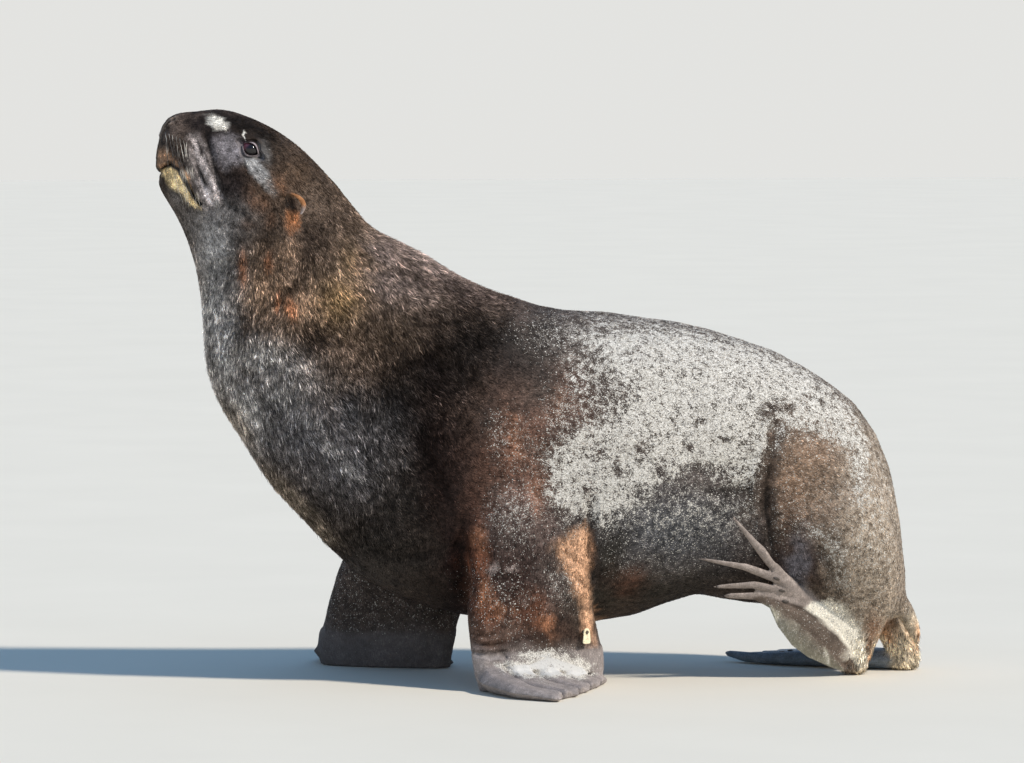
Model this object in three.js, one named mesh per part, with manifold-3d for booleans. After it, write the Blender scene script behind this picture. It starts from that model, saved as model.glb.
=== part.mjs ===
// A life-size adult male sea lion walking on all four flippers, head raised and left hind flipper lifted.
// Millimetres, +Z up. The animal faces -X and its left side faces -Y. The origin is on the floor, under
// the middle of its bounding box. It is modelled whole, as lofts, and parted into named pieces by thin cuts.
import * as THREE from "three";
import { mergeVertices } from "three/addons/utils/BufferGeometryUtils.js";
import Module from "manifold-3d";

const wasm = await Module();
wasm.setup();

// ---- Driving dimensions ----------------------------------------------------------------------------
const GAP = 0.4; // what every thin cut leaves open
const BODY_RINGS = 43; // rings along the body loft
const BODY_SIDES = 24; // points round each ring
const LIMB_SIDES = 12;
const DIGIT_SIDES = 6;
const SLIVER = 0.18; // finished pieces may be simplified by this much
const PLAIN = 1.6; // and flippers by this much, before they are cut
const EYE_RADIUS = 21;
const WEB_THICKNESS = { fore: 18, hind: 6 };
const TAG = { width: 24, height: 37, thick: 2.4, corner: 5, stud: 4, studFrom: -14, studTo: 3.4, studUp: 9 };

// The body from nose to rump. Each station is a flat section across the body: the point on its back line
// and the one on its belly line [x, z], half its width, how far up from the belly it is widest (0 to 1),
// and how square it is (2 is an ellipse).
const BODY = [
  { name: "nose tip", back: [-914, 1276], belly: [-918, 1250], half: 26, high: 0.5, square: 2 },
  { name: "nose pad", back: [-905, 1312], belly: [-917, 1206], half: 52, high: 0.52, square: 2.2 },
  { name: "lips", back: [-888, 1342], belly: [-908, 1176], half: 68, high: 0.52, square: 2.3 },
  { name: "whisker pads", back: [-864, 1357], belly: [-891, 1146], half: 78, high: 0.52, square: 2.3 },
  { name: "chin", back: [-835, 1361], belly: [-873, 1115], half: 82, high: 0.52, square: 2.2 },
  { name: "nose bridge", back: [-801, 1366], belly: [-857, 1083], half: 92, high: 0.52, square: 2.1 },
  { name: "mouth corner", back: [-761, 1368], belly: [-843, 1046], half: 104, high: 0.53, square: 2.1 },
  { name: "eyes", back: [-706, 1353], belly: [-831, 1004], half: 117, high: 0.54, square: 2.1 },
  { name: "crown", back: [-647, 1325], belly: [-823, 961], half: 131, high: 0.53, square: 2.1 },
  { name: "ears", back: [-582, 1281], belly: [-817, 909], half: 146, high: 0.52, square: 2.1 },
  { name: "occiput", back: [-524, 1229], belly: [-813, 850], half: 163, high: 0.5, square: 2.1 },
  { name: "nape", back: [-474, 1176], belly: [-810, 790], half: 182, high: 0.49, square: 2.1 },
  { name: "mid neck", back: [-428, 1111], belly: [-799, 715], half: 200, high: 0.48, square: 2.1 },
  { name: "low neck", back: [-371, 1070], belly: [-765, 640], half: 221, high: 0.47, square: 2.1 },
  { name: "mane", back: [-300, 1042], belly: [-709, 553], half: 240, high: 0.46, square: 2.1 },
  { name: "breast", back: [-216, 990], belly: [-644, 452], half: 256, high: 0.46, square: 2.1 },
  { name: "shoulders", back: [-120, 943], belly: [-556, 362], half: 267, high: 0.46, square: 2.15 },
  { name: "keel", back: [-24, 904], belly: [-460, 262], half: 273, high: 0.46, square: 2.2 },
  { name: "armpits", back: [61, 886], belly: [-310, 176], half: 276, high: 0.47, square: 2.2 },
  { name: "ribs", back: [146, 880], belly: [-110, 138], half: 278, high: 0.48, square: 2.2 },
  { name: "last rib", back: [243, 867], belly: [110, 127], half: 279, high: 0.48, square: 2.2 },
  { name: "waist", back: [364, 849], belly: [262, 153], half: 264, high: 0.49, square: 2.15 },
  { name: "loin", back: [473, 820], belly: [366, 192], half: 244, high: 0.51, square: 2.1 },
  { name: "hips", back: [583, 780], belly: [458, 180], half: 224, high: 0.53, square: 2.1 },
  { name: "croup", back: [681, 719], belly: [552, 166], half: 210, high: 0.54, square: 2.1 },
  { name: "rump", back: [766, 655], belly: [630, 160], half: 196, high: 0.55, square: 2.1 },
  { name: "buttocks", back: [826, 563], belly: [676, 152], half: 178, high: 0.55, square: 2.1 },
  { name: "under tail", back: [863, 430], belly: [706, 140], half: 150, high: 0.52, square: 2.1 },
  { name: "thighs", back: [885, 308], belly: [735, 124], half: 120, high: 0.5, square: 2 },
  { name: "crotch", back: [893, 205], belly: [775, 106], half: 92, high: 0.5, square: 2 },
  { name: "end", back: [888, 150], belly: [820, 108], half: 42, high: 0.5, square: 2 },
];

// Rounded forms that the sections alone don't give: where, how far they reach and how far they stand out.
// Each is made on both sides of the body.
const SWELLS = [
  { name: "whisker pad", at: [-884, 58, 1262], reach: 44, lift: 13 },
  { name: "lower lip", at: [-880, 50, 1180], reach: 34, lift: 7 },
  { name: "nostril rise", at: [-890, 30, 1338], reach: 26, lift: 5 },
  { name: "bridge hollow", at: [-812, 44, 1345], reach: 38, lift: -7 },
  { name: "eye socket", at: [-706, 100, 1262], reach: 40, lift: -9 },
  { name: "brow", at: [-690, 74, 1318], reach: 34, lift: 6 },
  { name: "cheek", at: [-700, 128, 1170], reach: 70, lift: 12 },
  { name: "jaw muscle", at: [-640, 140, 1120], reach: 80, lift: 8 },
  { name: "shoulder", at: [-90, 275, 560], reach: 170, lift: 18 },
  { name: "flank hollow", at: [452, 240, 380], reach: 100, lift: -14 },
  { name: "haunch", at: [690, 205, 470], reach: 150, lift: 14 },
];

// Planes that part the body, each through a point on its back line and one on its belly line.
const CUTS = {
  headNeck: { back: [-466, 1162], belly: [-815, 905] },
  neckChest: { back: [-238, 1000], belly: [-722, 575] },
  chestTrunk: { back: [190, 874], belly: [20, 130] },
  trunkHips: { back: [560, 788], belly: [470, 195] },
};

// The mouth, seen from the side, from the lips back to its corner, and the lower jaw's hind edge.
const MOUTH = [
  [-916, 1214],
  [-902, 1228],
  [-886, 1233],
  [-868, 1222],
  [-852, 1192],
  [-832, 1158],
  [-808, 1134],
];
const JAW_ANGLE = [-846, 1062];

// Limbs from inside the body to the ground: the centre of each section, half its length fore and aft,
// half its thickness, and how far it is turned about Z, in degrees.
const FORELIMBS = {
  left: [
    { at: [-40, -185, 650], fore: 110, thick: 60, turn: 0 },
    { at: [-52, -198, 520], fore: 165, thick: 92, turn: 0 },
    { at: [-54, -214, 410], fore: 164, thick: 92, turn: 2 },
    { at: [-52, -224, 310], fore: 156, thick: 82, turn: 7 },
    { at: [-49, -230, 225], fore: 160, thick: 70, turn: 13 },
    { at: [-40, -230, 150], fore: 171, thick: 58, turn: 20 },
    { at: [-32, -232, 95], fore: 181, thick: 48, turn: 24 },
    { at: [-26, -236, 50], fore: 184, thick: 42, turn: 26 },
    { at: [-22, -240, -8], fore: 170, thick: 40, turn: 26 },
  ],
  right: [
    { at: [-150, 185, 620], fore: 110, thick: 60, turn: 0 },
    { at: [-190, 198, 500], fore: 165, thick: 92, turn: 0 },
    { at: [-232, 214, 390], fore: 170, thick: 92, turn: -2 },
    { at: [-270, 226, 300], fore: 174, thick: 84, turn: -6 },
    { at: [-306, 236, 220], fore: 174, thick: 72, turn: -10 },
    { at: [-328, 242, 150], fore: 172, thick: 58, turn: -14 },
    { at: [-342, 248, 95], fore: 172, thick: 48, turn: -17 },
    { at: [-353, 254, 50], fore: 174, thick: 42, turn: -20 },
    { at: [-350, 260, -8], fore: 164, thick: 40, turn: -20 },
  ],
};

const HINDLIMBS = {
  left: [
    { at: [700, -90, 560], fore: 60, thick: 60, turn: 0 },
    { at: [684, -112, 470], fore: 142, thick: 104, turn: 0 },
    { at: [686, -120, 380], fore: 162, thick: 108, turn: 0 },
    { at: [702, -112, 295], fore: 160, thick: 96, turn: 0 },
    { at: [726, -92, 218], fore: 136, thick: 74, turn: 0 },
    { at: [756, -68, 148], fore: 94, thick: 54, turn: 0 },
    { at: [766, -48, 95], fore: 62, thick: 46, turn: 0 },
    { at: [762, -38, 48], fore: 42, thick: 42, turn: 0 },
    { at: [758, -34, -8], fore: 34, thick: 37, turn: 0 },
  ],
  right: [
    { at: [700, 90, 560], fore: 50, thick: 60, turn: 0 },
    { at: [690, 112, 470], fore: 116, thick: 104, turn: 0 },
    { at: [716, 120, 380], fore: 124, thick: 108, turn: 0 },
    { at: [748, 116, 295], fore: 122, thick: 98, turn: 0 },
    { at: [792, 104, 218], fore: 102, thick: 80, turn: 0 },
    { at: [828, 90, 148], fore: 76, thick: 60, turn: 0 },
    { at: [872, 70, 95], fore: 52, thick: 46, turn: 0 },
    { at: [898, 60, 48], fore: 42, thick: 42, turn: 0 },
    { at: [898, 58, -8], fore: 36, thick: 38, turn: 0 },
  ],
};

// Digits run from the wrist or ankle to the tip. Each has the points its middle passes through, half its
// width at the root and tip, and half its thickness there.
const FORE_DIGITS = {
  left: [
    { path: [[-142, -272, 34], [-124, -410, 20], [-10, -546, 7]], wide: [46, 24], thick: [32, 10] },
    { path: [[-92, -250, 32], [-50, -368, 18], [42, -452, 6]], wide: [38, 21], thick: [28, 9] },
    { path: [[-30, -215, 30], [16, -306, 17], [76, -364, 6]], wide: [36, 20], thick: [26, 8.5] },
    { path: [[30, -180, 28], [68, -236, 16], [112, -270, 6]], wide: [34, 19], thick: [24, 8] },
    { path: [[80, -150, 26], [112, -168, 15], [142, -180, 6]], wide: [32, 18], thick: [22, 8] },
  ],
  right: [
    { path: [[-478, 306, 34], [-464, 440, 20], [-366, 574, 7]], wide: [46, 24], thick: [32, 10] },
    { path: [[-428, 292, 32], [-390, 396, 18], [-312, 484, 6]], wide: [38, 21], thick: [28, 9] },
    { path: [[-366, 270, 30], [-322, 344, 17], [-268, 402, 6]], wide: [36, 20], thick: [26, 8.5] },
    { path: [[-304, 248, 28], [-266, 294, 16], [-222, 332, 6]], wide: [34, 19], thick: [24, 8] },
    { path: [[-248, 228, 26], [-218, 250, 15], [-186, 266, 6]], wide: [32, 18], thick: [22, 8] },
  ],
};

// The left hind flipper is lifted, with its digits spread. The flat of each foot faces along its FACE.
const LIFTED_FACE = [0.2, -0.84, -0.5];
const LYING_FACE = [0, 0, 1];
const HIND_DIGITS = {
  left: [
    { path: [[772, -72, 76], [722, -96, 126], [640, -128, 184], [565, -169, 249], [496, -216, 328],
      [424, -264, 412]], wide: [21, 3.5], thick: [16, 2.8], nail: 0 },
    { path: [[764, -70, 72], [716, -94, 116], [640, -128, 174], [565, -169, 241], [470, -206, 278],
      [350, -250, 303]], wide: [19, 5.5], thick: [16, 3], nail: 0.64 },
    { path: [[756, -68, 64], [708, -92, 104], [646, -124, 156], [588, -152, 210], [494, -184, 233],
      [393, -206, 231]], wide: [17, 8], thick: [16, 3.4], nail: 0.66 },
    { path: [[746, -66, 54], [700, -92, 92], [656, -118, 136], [616, -138, 176], [522, -166, 204],
      [420, -190, 208]], wide: [18, 11], thick: [16, 4], nail: 0.7 },
    { path: [[738, -62, 42], [692, -96, 93], [652, -116, 126], [613, -132, 155], [548, -156, 187],
      [498, -172, 203]], wide: [34, 11], thick: [19, 6], nail: 0 },
  ],
  right: [
    { path: [[886, 60, 24], [760, 116, 22], [650, 168, 18], [554, 232, 13], [494, 290, 20]],
      wide: [34, 14], thick: [26, 10], nail: 0 },
    { path: [[888, 66, 24], [772, 138, 22], [682, 200, 16], [600, 276, 9], [530, 352, 7]],
      wide: [30, 9], thick: [26, 7], nail: 0.66 },
    { path: [[890, 72, 24], [784, 156, 22], [702, 228, 16], [628, 308, 9], [566, 386, 7]],
      wide: [30, 9], thick: [26, 7], nail: 0.66 },
    { path: [[892, 78, 24], [800, 172, 22], [726, 252, 16], [658, 334, 9], [600, 412, 7]],
      wide: [30, 9], thick: [26, 7], nail: 0.66 },
    { path: [[894, 84, 24], [816, 186, 22], [752, 276, 16], [694, 352, 10], [642, 424, 8]],
      wide: [34, 14], thick: [26, 8], nail: 0 },
  ],
};
const WEBBED = { fore: 0.95, left: 0.58, right: 0.7 }; // share of a digit's length that the web reaches
const SOLE_EDGE = [[533, -164, 179], [557, -146, 129], [593, -130, 83], [633, -114, 53], [692, -92, 25], [736, -66, 8]];
const NAIL = { length: 20, width: 8, thick: 6 }; // on the three middle hind digits, sunk in them by half

const TAIL = [
  { at: [852, -4, 210], fore: 30, thick: 34, turn: 0 },
  { at: [886, -4, 156], fore: 30, thick: 32, turn: 0 },
  { at: [908, -4, 108], fore: 22, thick: 26, turn: 0 },
  { at: [918, -3, 76], fore: 13, thick: 17, turn: 0 },
  { at: [921, -3, 58], fore: 6, thick: 8, turn: 0 },
];

const NOSE = { at: [-906, 0, 1330], radii: [27, 36, 27] };
const EYE = [-697, -80, 1270];
const EAR = [
  { at: [-622, -128, 1170], fore: 9, thick: 8, turn: 0 },
  { at: [-600, -150, 1167], fore: 8, thick: 8, turn: 0 },
  { at: [-584, -163, 1155], fore: 7.5, thick: 7, turn: 0 },
  { at: [-577, -167, 1137], fore: 6, thick: 6, turn: 0 },
  { at: [-585, -164, 1118], fore: 3, thick: 3, turn: 0 },
];
const TAG_AT = [86, -239, 121];
const TAG_FACE = [0.6, -0.8, 0];

// ---- Tools -----------------------------------------------------------------------------------------
const vec = (p) => new THREE.Vector3(...p);
const radians = THREE.MathUtils.degToRad;
const lerp = THREE.MathUtils.lerp;
const curve = (points) => new THREE.CatmullRomCurve3(points.map(vec), false, "centripetal");
const mirrored = ([x, y, z]) => [x, -y, z];

// A closed surface through rings that all have the same number of points, with a fan over each end.
function loft(rings) {
  const count = rings[0].length;
  const points = rings.flat();
  const faces = [];
  for (let i = 0; i + 1 < rings.length; i++)
    for (let j = 0; j < count; j++) {
      const [a, b] = [i * count + j, i * count + ((j + 1) % count)];
      faces.push(a, b, b + count, a, b + count, a + count);
    }
  for (const [ring, start, flip] of [[rings[0], 0, true], [rings.at(-1), points.length - count, false]]) {
    const middle = ring.reduce((sum, p) => sum.add(p), new THREE.Vector3()).divideScalar(count);
    points.push(middle);
    for (let j = 0; j < count; j++) {
      const [a, b] = [start + j, start + ((j + 1) % count)];
      faces.push(points.length - 1, flip ? b : a, flip ? a : b);
    }
  }
  const geometry = new THREE.BufferGeometry().setFromPoints(points);
  geometry.setIndex(faces);
  return geometry;
}

// A geometry as a solid that can be cut and joined, turned right side out if its rings ran backwards.
function solidOf(geometry) {
  const bare = geometry.clone();
  bare.deleteAttribute("normal");
  bare.deleteAttribute("uv");
  const merged = mergeVertices(bare, 1e-3);
  const mesh = { numProp: 3, vertProperties: merged.attributes.position.array };
  const triVerts = new Uint32Array(merged.index.array);
  const solid = new wasm.Manifold(new wasm.Mesh({ ...mesh, triVerts }));
  if (solid.volume() > 0) return solid;
  for (let i = 0; i < triVerts.length; i += 3)
    [triVerts[i + 1], triVerts[i + 2]] = [triVerts[i + 2], triVerts[i + 1]];
  return new wasm.Manifold(new wasm.Mesh({ ...mesh, triVerts }));
}

function geometryOf(solid) {
  const { vertProperties, triVerts } = solid.getMesh();
  const geometry = new THREE.BufferGeometry();
  geometry.setAttribute("position", new THREE.BufferAttribute(vertProperties, 3));
  geometry.setIndex(new THREE.BufferAttribute(triVerts, 1));
  geometry.computeVertexNormals();
  return geometry;
}

const join = (solids) => solids.reduce((sum, solid) => sum.add(solid));

// The largest of a solid's separate bodies: a cut can leave slivers beside it.
const largest = (solid) =>
  solid.decompose().reduce((best, body) => (body.volume() > best.volume() ? body : best));

// A superellipse round a centre, in the plane of two half-axis vectors.
function ovalRing(centre, across, up, sides, square = 2) {
  const rounded = (value) => Math.sign(value) * Math.abs(value) ** (2 / square);
  return Array.from({ length: sides }, (_, j) => {
    const angle = (j / sides) * 2 * Math.PI;
    return centre
      .clone()
      .addScaledVector(across, rounded(Math.cos(angle)))
      .addScaledVector(up, rounded(Math.sin(angle)));
  });
}

// A limb through level sections, smoothed between them.
function limb(sections, { sides = LIMB_SIDES, rings = 11, grow = 0 } = {}) {
  const middle = curve(sections.map((s) => s.at));
  const shape = curve(sections.map((s) => [s.fore, s.thick, s.turn]));
  return loft(
    Array.from({ length: rings }, (_, i) => {
      const t = i / (rings - 1);
      const [fore, thick, turn] = shape.getPoint(t).toArray();
      const across = vec([fore + grow, 0, 0]).applyAxisAngle(vec([0, 0, 1]), radians(turn));
      const out = vec([0, thick + grow, 0]).applyAxisAngle(vec([0, 0, 1]), radians(turn));
      return ovalRing(middle.getPoint(t), across, out, sides, 2.3);
    }),
  );
}

// A flattened, tapering digit along its path, its thickness towards face, with a blunt rounded tip.
function digit({ path, wide, thick }, face, rings) {
  const middle = curve(path);
  const TIP = 0.9; // from here to the end the tip rounds off
  return loft(
    Array.from({ length: rings + 1 }, (_, i) => {
      const t = [i / (rings - 1), 0.97, 1][Math.max(0, i - rings + 2)];
      const taper = t > TIP ? Math.sqrt(Math.max(0.06, 1 - ((t - TIP) / (1 - TIP)) ** 2)) : 1;
      const along = middle.getTangent(t);
      const across = vec(face).cross(along).normalize();
      const up = along.clone().cross(across).normalize();
      const half = lerp(wide[0], wide[1], t ** 1.8) * taper; // full along most of it, and slim at the tip
      const deep = lerp(thick[0], thick[1], t) * taper;
      return ovalRing(middle.getPoint(t), across.multiplyScalar(half), up.multiplyScalar(deep), DIGIT_SIDES);
    }),
  );
}

// A thin sheet of skin between two lines of points, thickness towards face.
function web(lineA, lineB, face, thickness) {
  const lift = vec(face).normalize().multiplyScalar(thickness / 2);
  return loft(
    lineA.map((a, i) => {
      const b = lineB[i];
      return [a.clone().add(lift), b.clone().add(lift), b.clone().sub(lift), a.clone().sub(lift)];
    }),
  );
}

function webs(digits, face, share, thickness) {
  const STEPS = 3;
  const lines = digits.map(({ path }) => {
    const middle = curve(path);
    return Array.from({ length: STEPS + 1 }, (_, i) => middle.getPoint((i / STEPS) * share));
  });
  return lines.slice(1).map((line, i) => solidOf(web(lines[i], line, face, thickness)));
}

// Everything on one side of a plane that holds the Y axis and the two points, moved aside by half the gap.
function trim(solid, cut, side) {
  const along = new THREE.Vector2(cut.belly[0] - cut.back[0], cut.belly[1] - cut.back[1]).normalize();
  const normal = new THREE.Vector2(-along.y, along.x).multiplyScalar(side === "behind" ? 1 : -1);
  const offset = normal.x * cut.back[0] + normal.y * cut.back[1] + GAP / 2;
  return solid.trimByPlane([normal.x, 0, normal.y], offset);
}

const onFloor = (solid) => solid.trimByPlane([0, 0, 1], 0);

// ---- The body --------------------------------------------------------------------------------------
function swell(point, outward, y) {
  const reached = point.clone().setY(Math.abs(y));
  for (const { at, reach, lift } of SWELLS) {
    const near = Math.exp(-(reached.distanceTo(vec(at)) ** 2) / reach ** 2);
    point.addScaledVector(outward, lift * near);
  }
  return point;
}

function bodyLoft(grow = 0) {
  const back = curve(BODY.map((s) => [s.back[0], 0, s.back[1]]));
  const belly = curve(BODY.map((s) => [s.belly[0], 0, s.belly[1]]));
  const shape = curve(BODY.map((s) => [s.half, s.high * 100, s.square * 100]));
  // Stations share the rings evenly, so the head, which has most of them, gets most of the rings.
  return loft(
    Array.from({ length: BODY_RINGS }, (_, i) => {
      const t = i / (BODY_RINGS - 1);
      const [top, bottom] = [back.getPoint(t), belly.getPoint(t)];
      const [half, high, square] = shape.getPoint(t).toArray();
      const middle = bottom.clone().lerp(top, high / 100);
      const up = top.clone().sub(middle);
      const down = middle.clone().sub(bottom);
      up.setLength(up.length() + grow);
      down.setLength(down.length() + grow);
      const side = vec([0, half + grow, 0]);
      const ring = ovalRing(new THREE.Vector3(), vec([0, 1, 0]), vec([0, 0, 1]), BODY_SIDES, square / 100);
      return ring.map(({ y, z }) => {
        const offset = (z > 0 ? up : down).clone().multiplyScalar(z).addScaledVector(side, y);
        const point = middle.clone().add(offset);
        return swell(point, offset.clone().normalize(), point.y);
      });
    }),
  );
}

const body = solidOf(bodyLoft());
const grownBody = solidOf(bodyLoft(GAP));

// ---- Limbs -----------------------------------------------------------------------------------------
const WRIST = 92; // height of the cut between a forelimb and its flipper

const parts = {}; // node name: solid

function foreLimb(side) {
  const whole = solidOf(limb(FORELIMBS[side]));
  const digits = FORE_DIGITS[side];
  const paddle = join([
    whole,
    ...digits.map((d) => solidOf(digit(d, LYING_FACE, 4))),
    ...webs(digits, LYING_FACE, WEBBED.fore, WEB_THICKNESS.fore),
  ]).simplify(PLAIN);
  const limbAndPaddle = onFloor(paddle.subtract(grownBody));
  const upper = limbAndPaddle.trimByPlane([0, 0, 1], WRIST + GAP / 2);
  parts[`foreleg_${side}`] = largest(upper);
  parts[`fore_flipper_${side}`] = largest(limbAndPaddle.trimByPlane([0, 0, -1], -WRIST + GAP / 2));
}

function hindLimb(side, face) {
  const leg = solidOf(limb(HINDLIMBS[side]));
  const digits = HIND_DIGITS[side];
  const pieces = [
    ...digits.map((d) => solidOf(digit(d, face, 6))),
    ...webs(digits, face, WEBBED[side], WEB_THICKNESS.hind),
  ];
  if (side === "left") {
    const rim = curve(digits[4].path);
    const inner = SOLE_EDGE.map((_, i) => rim.getPoint(0.84 - 0.16 * i));
    pieces.push(solidOf(web(inner, SOLE_EDGE.map(vec), face, WEB_THICKNESS.hind)));
  }
  const foot = onFloor(join(pieces).simplify(PLAIN).subtract(grownBody));
  const grownFoot = solidOf(limb(HINDLIMBS[side], { grow: GAP }));
  parts[`hind_leg_${side}`] = largest(onFloor(leg.subtract(grownBody)));
  parts[`hind_flipper_${side}`] = largest(foot.subtract(grownFoot));
}

for (const side of ["left", "right"]) foreLimb(side);
hindLimb("left", LIFTED_FACE);
hindLimb("right", LYING_FACE);

const tailSolid = solidOf(limb(TAIL, { sides: 10, rings: 6 }));
const grownRightLeg = solidOf(limb(HINDLIMBS.right, { grow: GAP }));
parts.tail = largest(tailSolid.subtract(grownBody).subtract(grownRightLeg));
const grownTail = solidOf(limb(TAIL, { sides: 10, rings: 6, grow: GAP }));
const grownLeftLeg = solidOf(limb(HINDLIMBS.left, { grow: GAP }));
parts.hind_leg_right = largest(parts.hind_leg_right.subtract(grownLeftLeg));
parts.hind_leg_left = largest(parts.hind_leg_left.subtract(grownTail));

// ---- Head, neck and trunk --------------------------------------------------------------------------
const head = trim(body, CUTS.headNeck, "front");
parts.neck = trim(trim(body, CUTS.headNeck, "behind"), CUTS.neckChest, "front");
parts.chest = trim(trim(body, CUTS.neckChest, "behind"), CUTS.chestTrunk, "front");
parts.trunk = trim(trim(body, CUTS.chestTrunk, "behind"), CUTS.trunkHips, "front");
parts.hindquarters = trim(body, CUTS.trunkHips, "behind");

// A prism across the head that holds the lower jaw, its upper side along the mouth, moved by an offset.
function jawPrism(offset) {
  const OUT = 60; // how far the prism stands out past the chin
  const corner = MOUTH.at(-1);
  const outline = new THREE.Shape([
    ...MOUTH.map(([x, z]) => new THREE.Vector2(x + offset, z + offset)),
    new THREE.Vector2(JAW_ANGLE[0] + offset, JAW_ANGLE[1] - offset),
    new THREE.Vector2(JAW_ANGLE[0] - OUT, JAW_ANGLE[1] - OUT),
    new THREE.Vector2(MOUTH[0][0] - OUT, corner[1]),
    new THREE.Vector2(MOUTH[0][0] - OUT, MOUTH[0][1] + offset),
  ]);
  const prism = new THREE.ExtrudeGeometry(outline, { depth: 400, bevelEnabled: false });
  return solidOf(prism.rotateX(Math.PI / 2).translate(0, 200, 0));
}

function ball(centre, radii, detail) {
  return solidOf(new THREE.SphereGeometry(1, detail, detail / 2).scale(...radii).translate(...centre));
}

const sphere = (centre, radius, detail) => ball(centre, [radius, radius, radius], detail);

const ears = { left: EAR, right: EAR.map((s) => ({ ...s, at: mirrored(s.at) })) };
const eyes = { left: EYE, right: mirrored(EYE) };
let skull = head.subtract(jawPrism(GAP));
for (const side of ["left", "right"]) {
  skull = skull.subtract(sphere(eyes[side], EYE_RADIUS + GAP, 12));
  parts[`eye_${side}`] = sphere(eyes[side], EYE_RADIUS, 12);
  const ear = solidOf(limb(ears[side], { sides: 8, rings: 7 }));
  parts[`ear_${side}`] = largest(ear.subtract(grownBody));
}
parts.nose_pad = largest(skull.intersect(ball(NOSE.at, NOSE.radii, 12)));
parts.head = largest(skull.subtract(ball(NOSE.at, NOSE.radii.map((r) => r + GAP), 12)));
parts.lower_jaw = largest(head.intersect(jawPrism(0)));

// ---- Nails and the flipper tag ---------------------------------------------------------------------
function nail(side, number, face) {
  const { path, thick, nail: t } = HIND_DIGITS[side][number];
  const middle = curve(path);
  const along = middle.getTangent(t);
  const across = vec(face).cross(along).normalize();
  const up = along.clone().cross(across).normalize();
  const centre = middle.getPoint(t).addScaledVector(up, lerp(thick[0], thick[1], t));
  const frame = new THREE.Matrix4().makeBasis(along, across, up).setPosition(centre);
  const shape = (grow) =>
    solidOf(
      new THREE.SphereGeometry(1, 6, 5)
        .scale(NAIL.length / 2 + grow, NAIL.width / 2 + grow, NAIL.thick / 2 + grow)
        .applyMatrix4(frame),
    );
  parts[`nail_${side}_${number + 1}`] = shape(0);
  const flipper = `hind_flipper_${side}`;
  parts[flipper] = largest(parts[flipper].subtract(shape(GAP)));
}
for (const number of [1, 2, 3]) {
  nail("left", number, LIFTED_FACE);
  nail("right", number, LYING_FACE);
}

// The tag is a plate, round at its top, on the hind edge of the left wrist. A stud holds it.
function tagOutline() {
  const { width, height, corner } = TAG;
  const [w, h] = [width / 2, height / 2];
  const outline = new THREE.Shape();
  outline.absarc(w - corner, -h + corner, corner, -Math.PI / 2, 0);
  outline.absarc(0, h - w * 0.8, w * 0.8, 0, Math.PI);
  outline.absarc(-w + corner, -h + corner, corner, Math.PI, Math.PI * 1.5);
  return outline;
}
const facing = vec(TAG_FACE);
const tagFrame = new THREE.Matrix4()
  .makeBasis(vec([0, 0, 1]).cross(facing), vec([0, 0, 1]), facing)
  .setPosition(...TAG_AT);
const stud = (grow) =>
  solidOf(
    new THREE.CylinderGeometry(TAG.stud + grow, TAG.stud + grow, TAG.studTo - TAG.studFrom, 12)
      .rotateX(Math.PI / 2)
      .translate(0, TAG.studUp, (TAG.studTo + TAG.studFrom) / 2 - grow)
      .applyMatrix4(tagFrame),
  );
const plate = new THREE.ExtrudeGeometry(tagOutline(), {
  depth: TAG.thick,
  bevelEnabled: false,
  curveSegments: 3,
});
plate.translate(0, 0, -TAG.thick / 2).applyMatrix4(tagFrame);
parts.flipper_tag = solidOf(plate).subtract(stud(GAP));
parts.tag_stud = stud(0);
parts.foreleg_left = largest(parts.foreleg_left.subtract(stud(GAP)));

// ---- The scene graph -------------------------------------------------------------------------------
const FUR = { color: 0x3a2e26, roughness: 0.85 };
const BARE = { color: 0x4a4442, roughness: 0.6 };
const finish = (name) => {
  if (name.includes("tag")) return { color: 0xe8dcae, roughness: 0.45 };
  if (name.startsWith("eye")) return { color: 0x0c0a0b, roughness: 0.08 };
  if (name.startsWith("nail")) return { color: 0x1c1715, roughness: 0.4 };
  return name.includes("flipper") ? BARE : FUR;
};

const animal = new THREE.Group();
for (const [name, solid] of Object.entries(parts)) {
  const geometry = geometryOf(largest(solid.simplify(SLIVER)));
  const mesh = new THREE.Mesh(geometry, new THREE.MeshStandardMaterial(finish(name)));
  mesh.name = name;
  animal.add(mesh);
}

const box = new THREE.Box3().setFromObject(animal);
const centre = box.getCenter(new THREE.Vector3());
animal.position.set(-centre.x, -centre.y, -box.min.z);

const seaLion = new THREE.Group();
seaLion.name = "sea_lion";
seaLion.add(animal);

export default seaLion;
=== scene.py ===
# %% [markdown]
# # A bull sea lion on the walk
#
# The object is a life-size, still model of an adult male sea lion. It walks to the left on all four
# flippers, with its head raised and its left hind flipper lifted. The solids of the frame give its form,
# out to the tips of its coat. This script dresses them: one skin, a coat of solid tufts, eyes, whiskers,
# nails and the tag that the animal wears on its left fore flipper.

# %% Load the solids
import math

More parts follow.
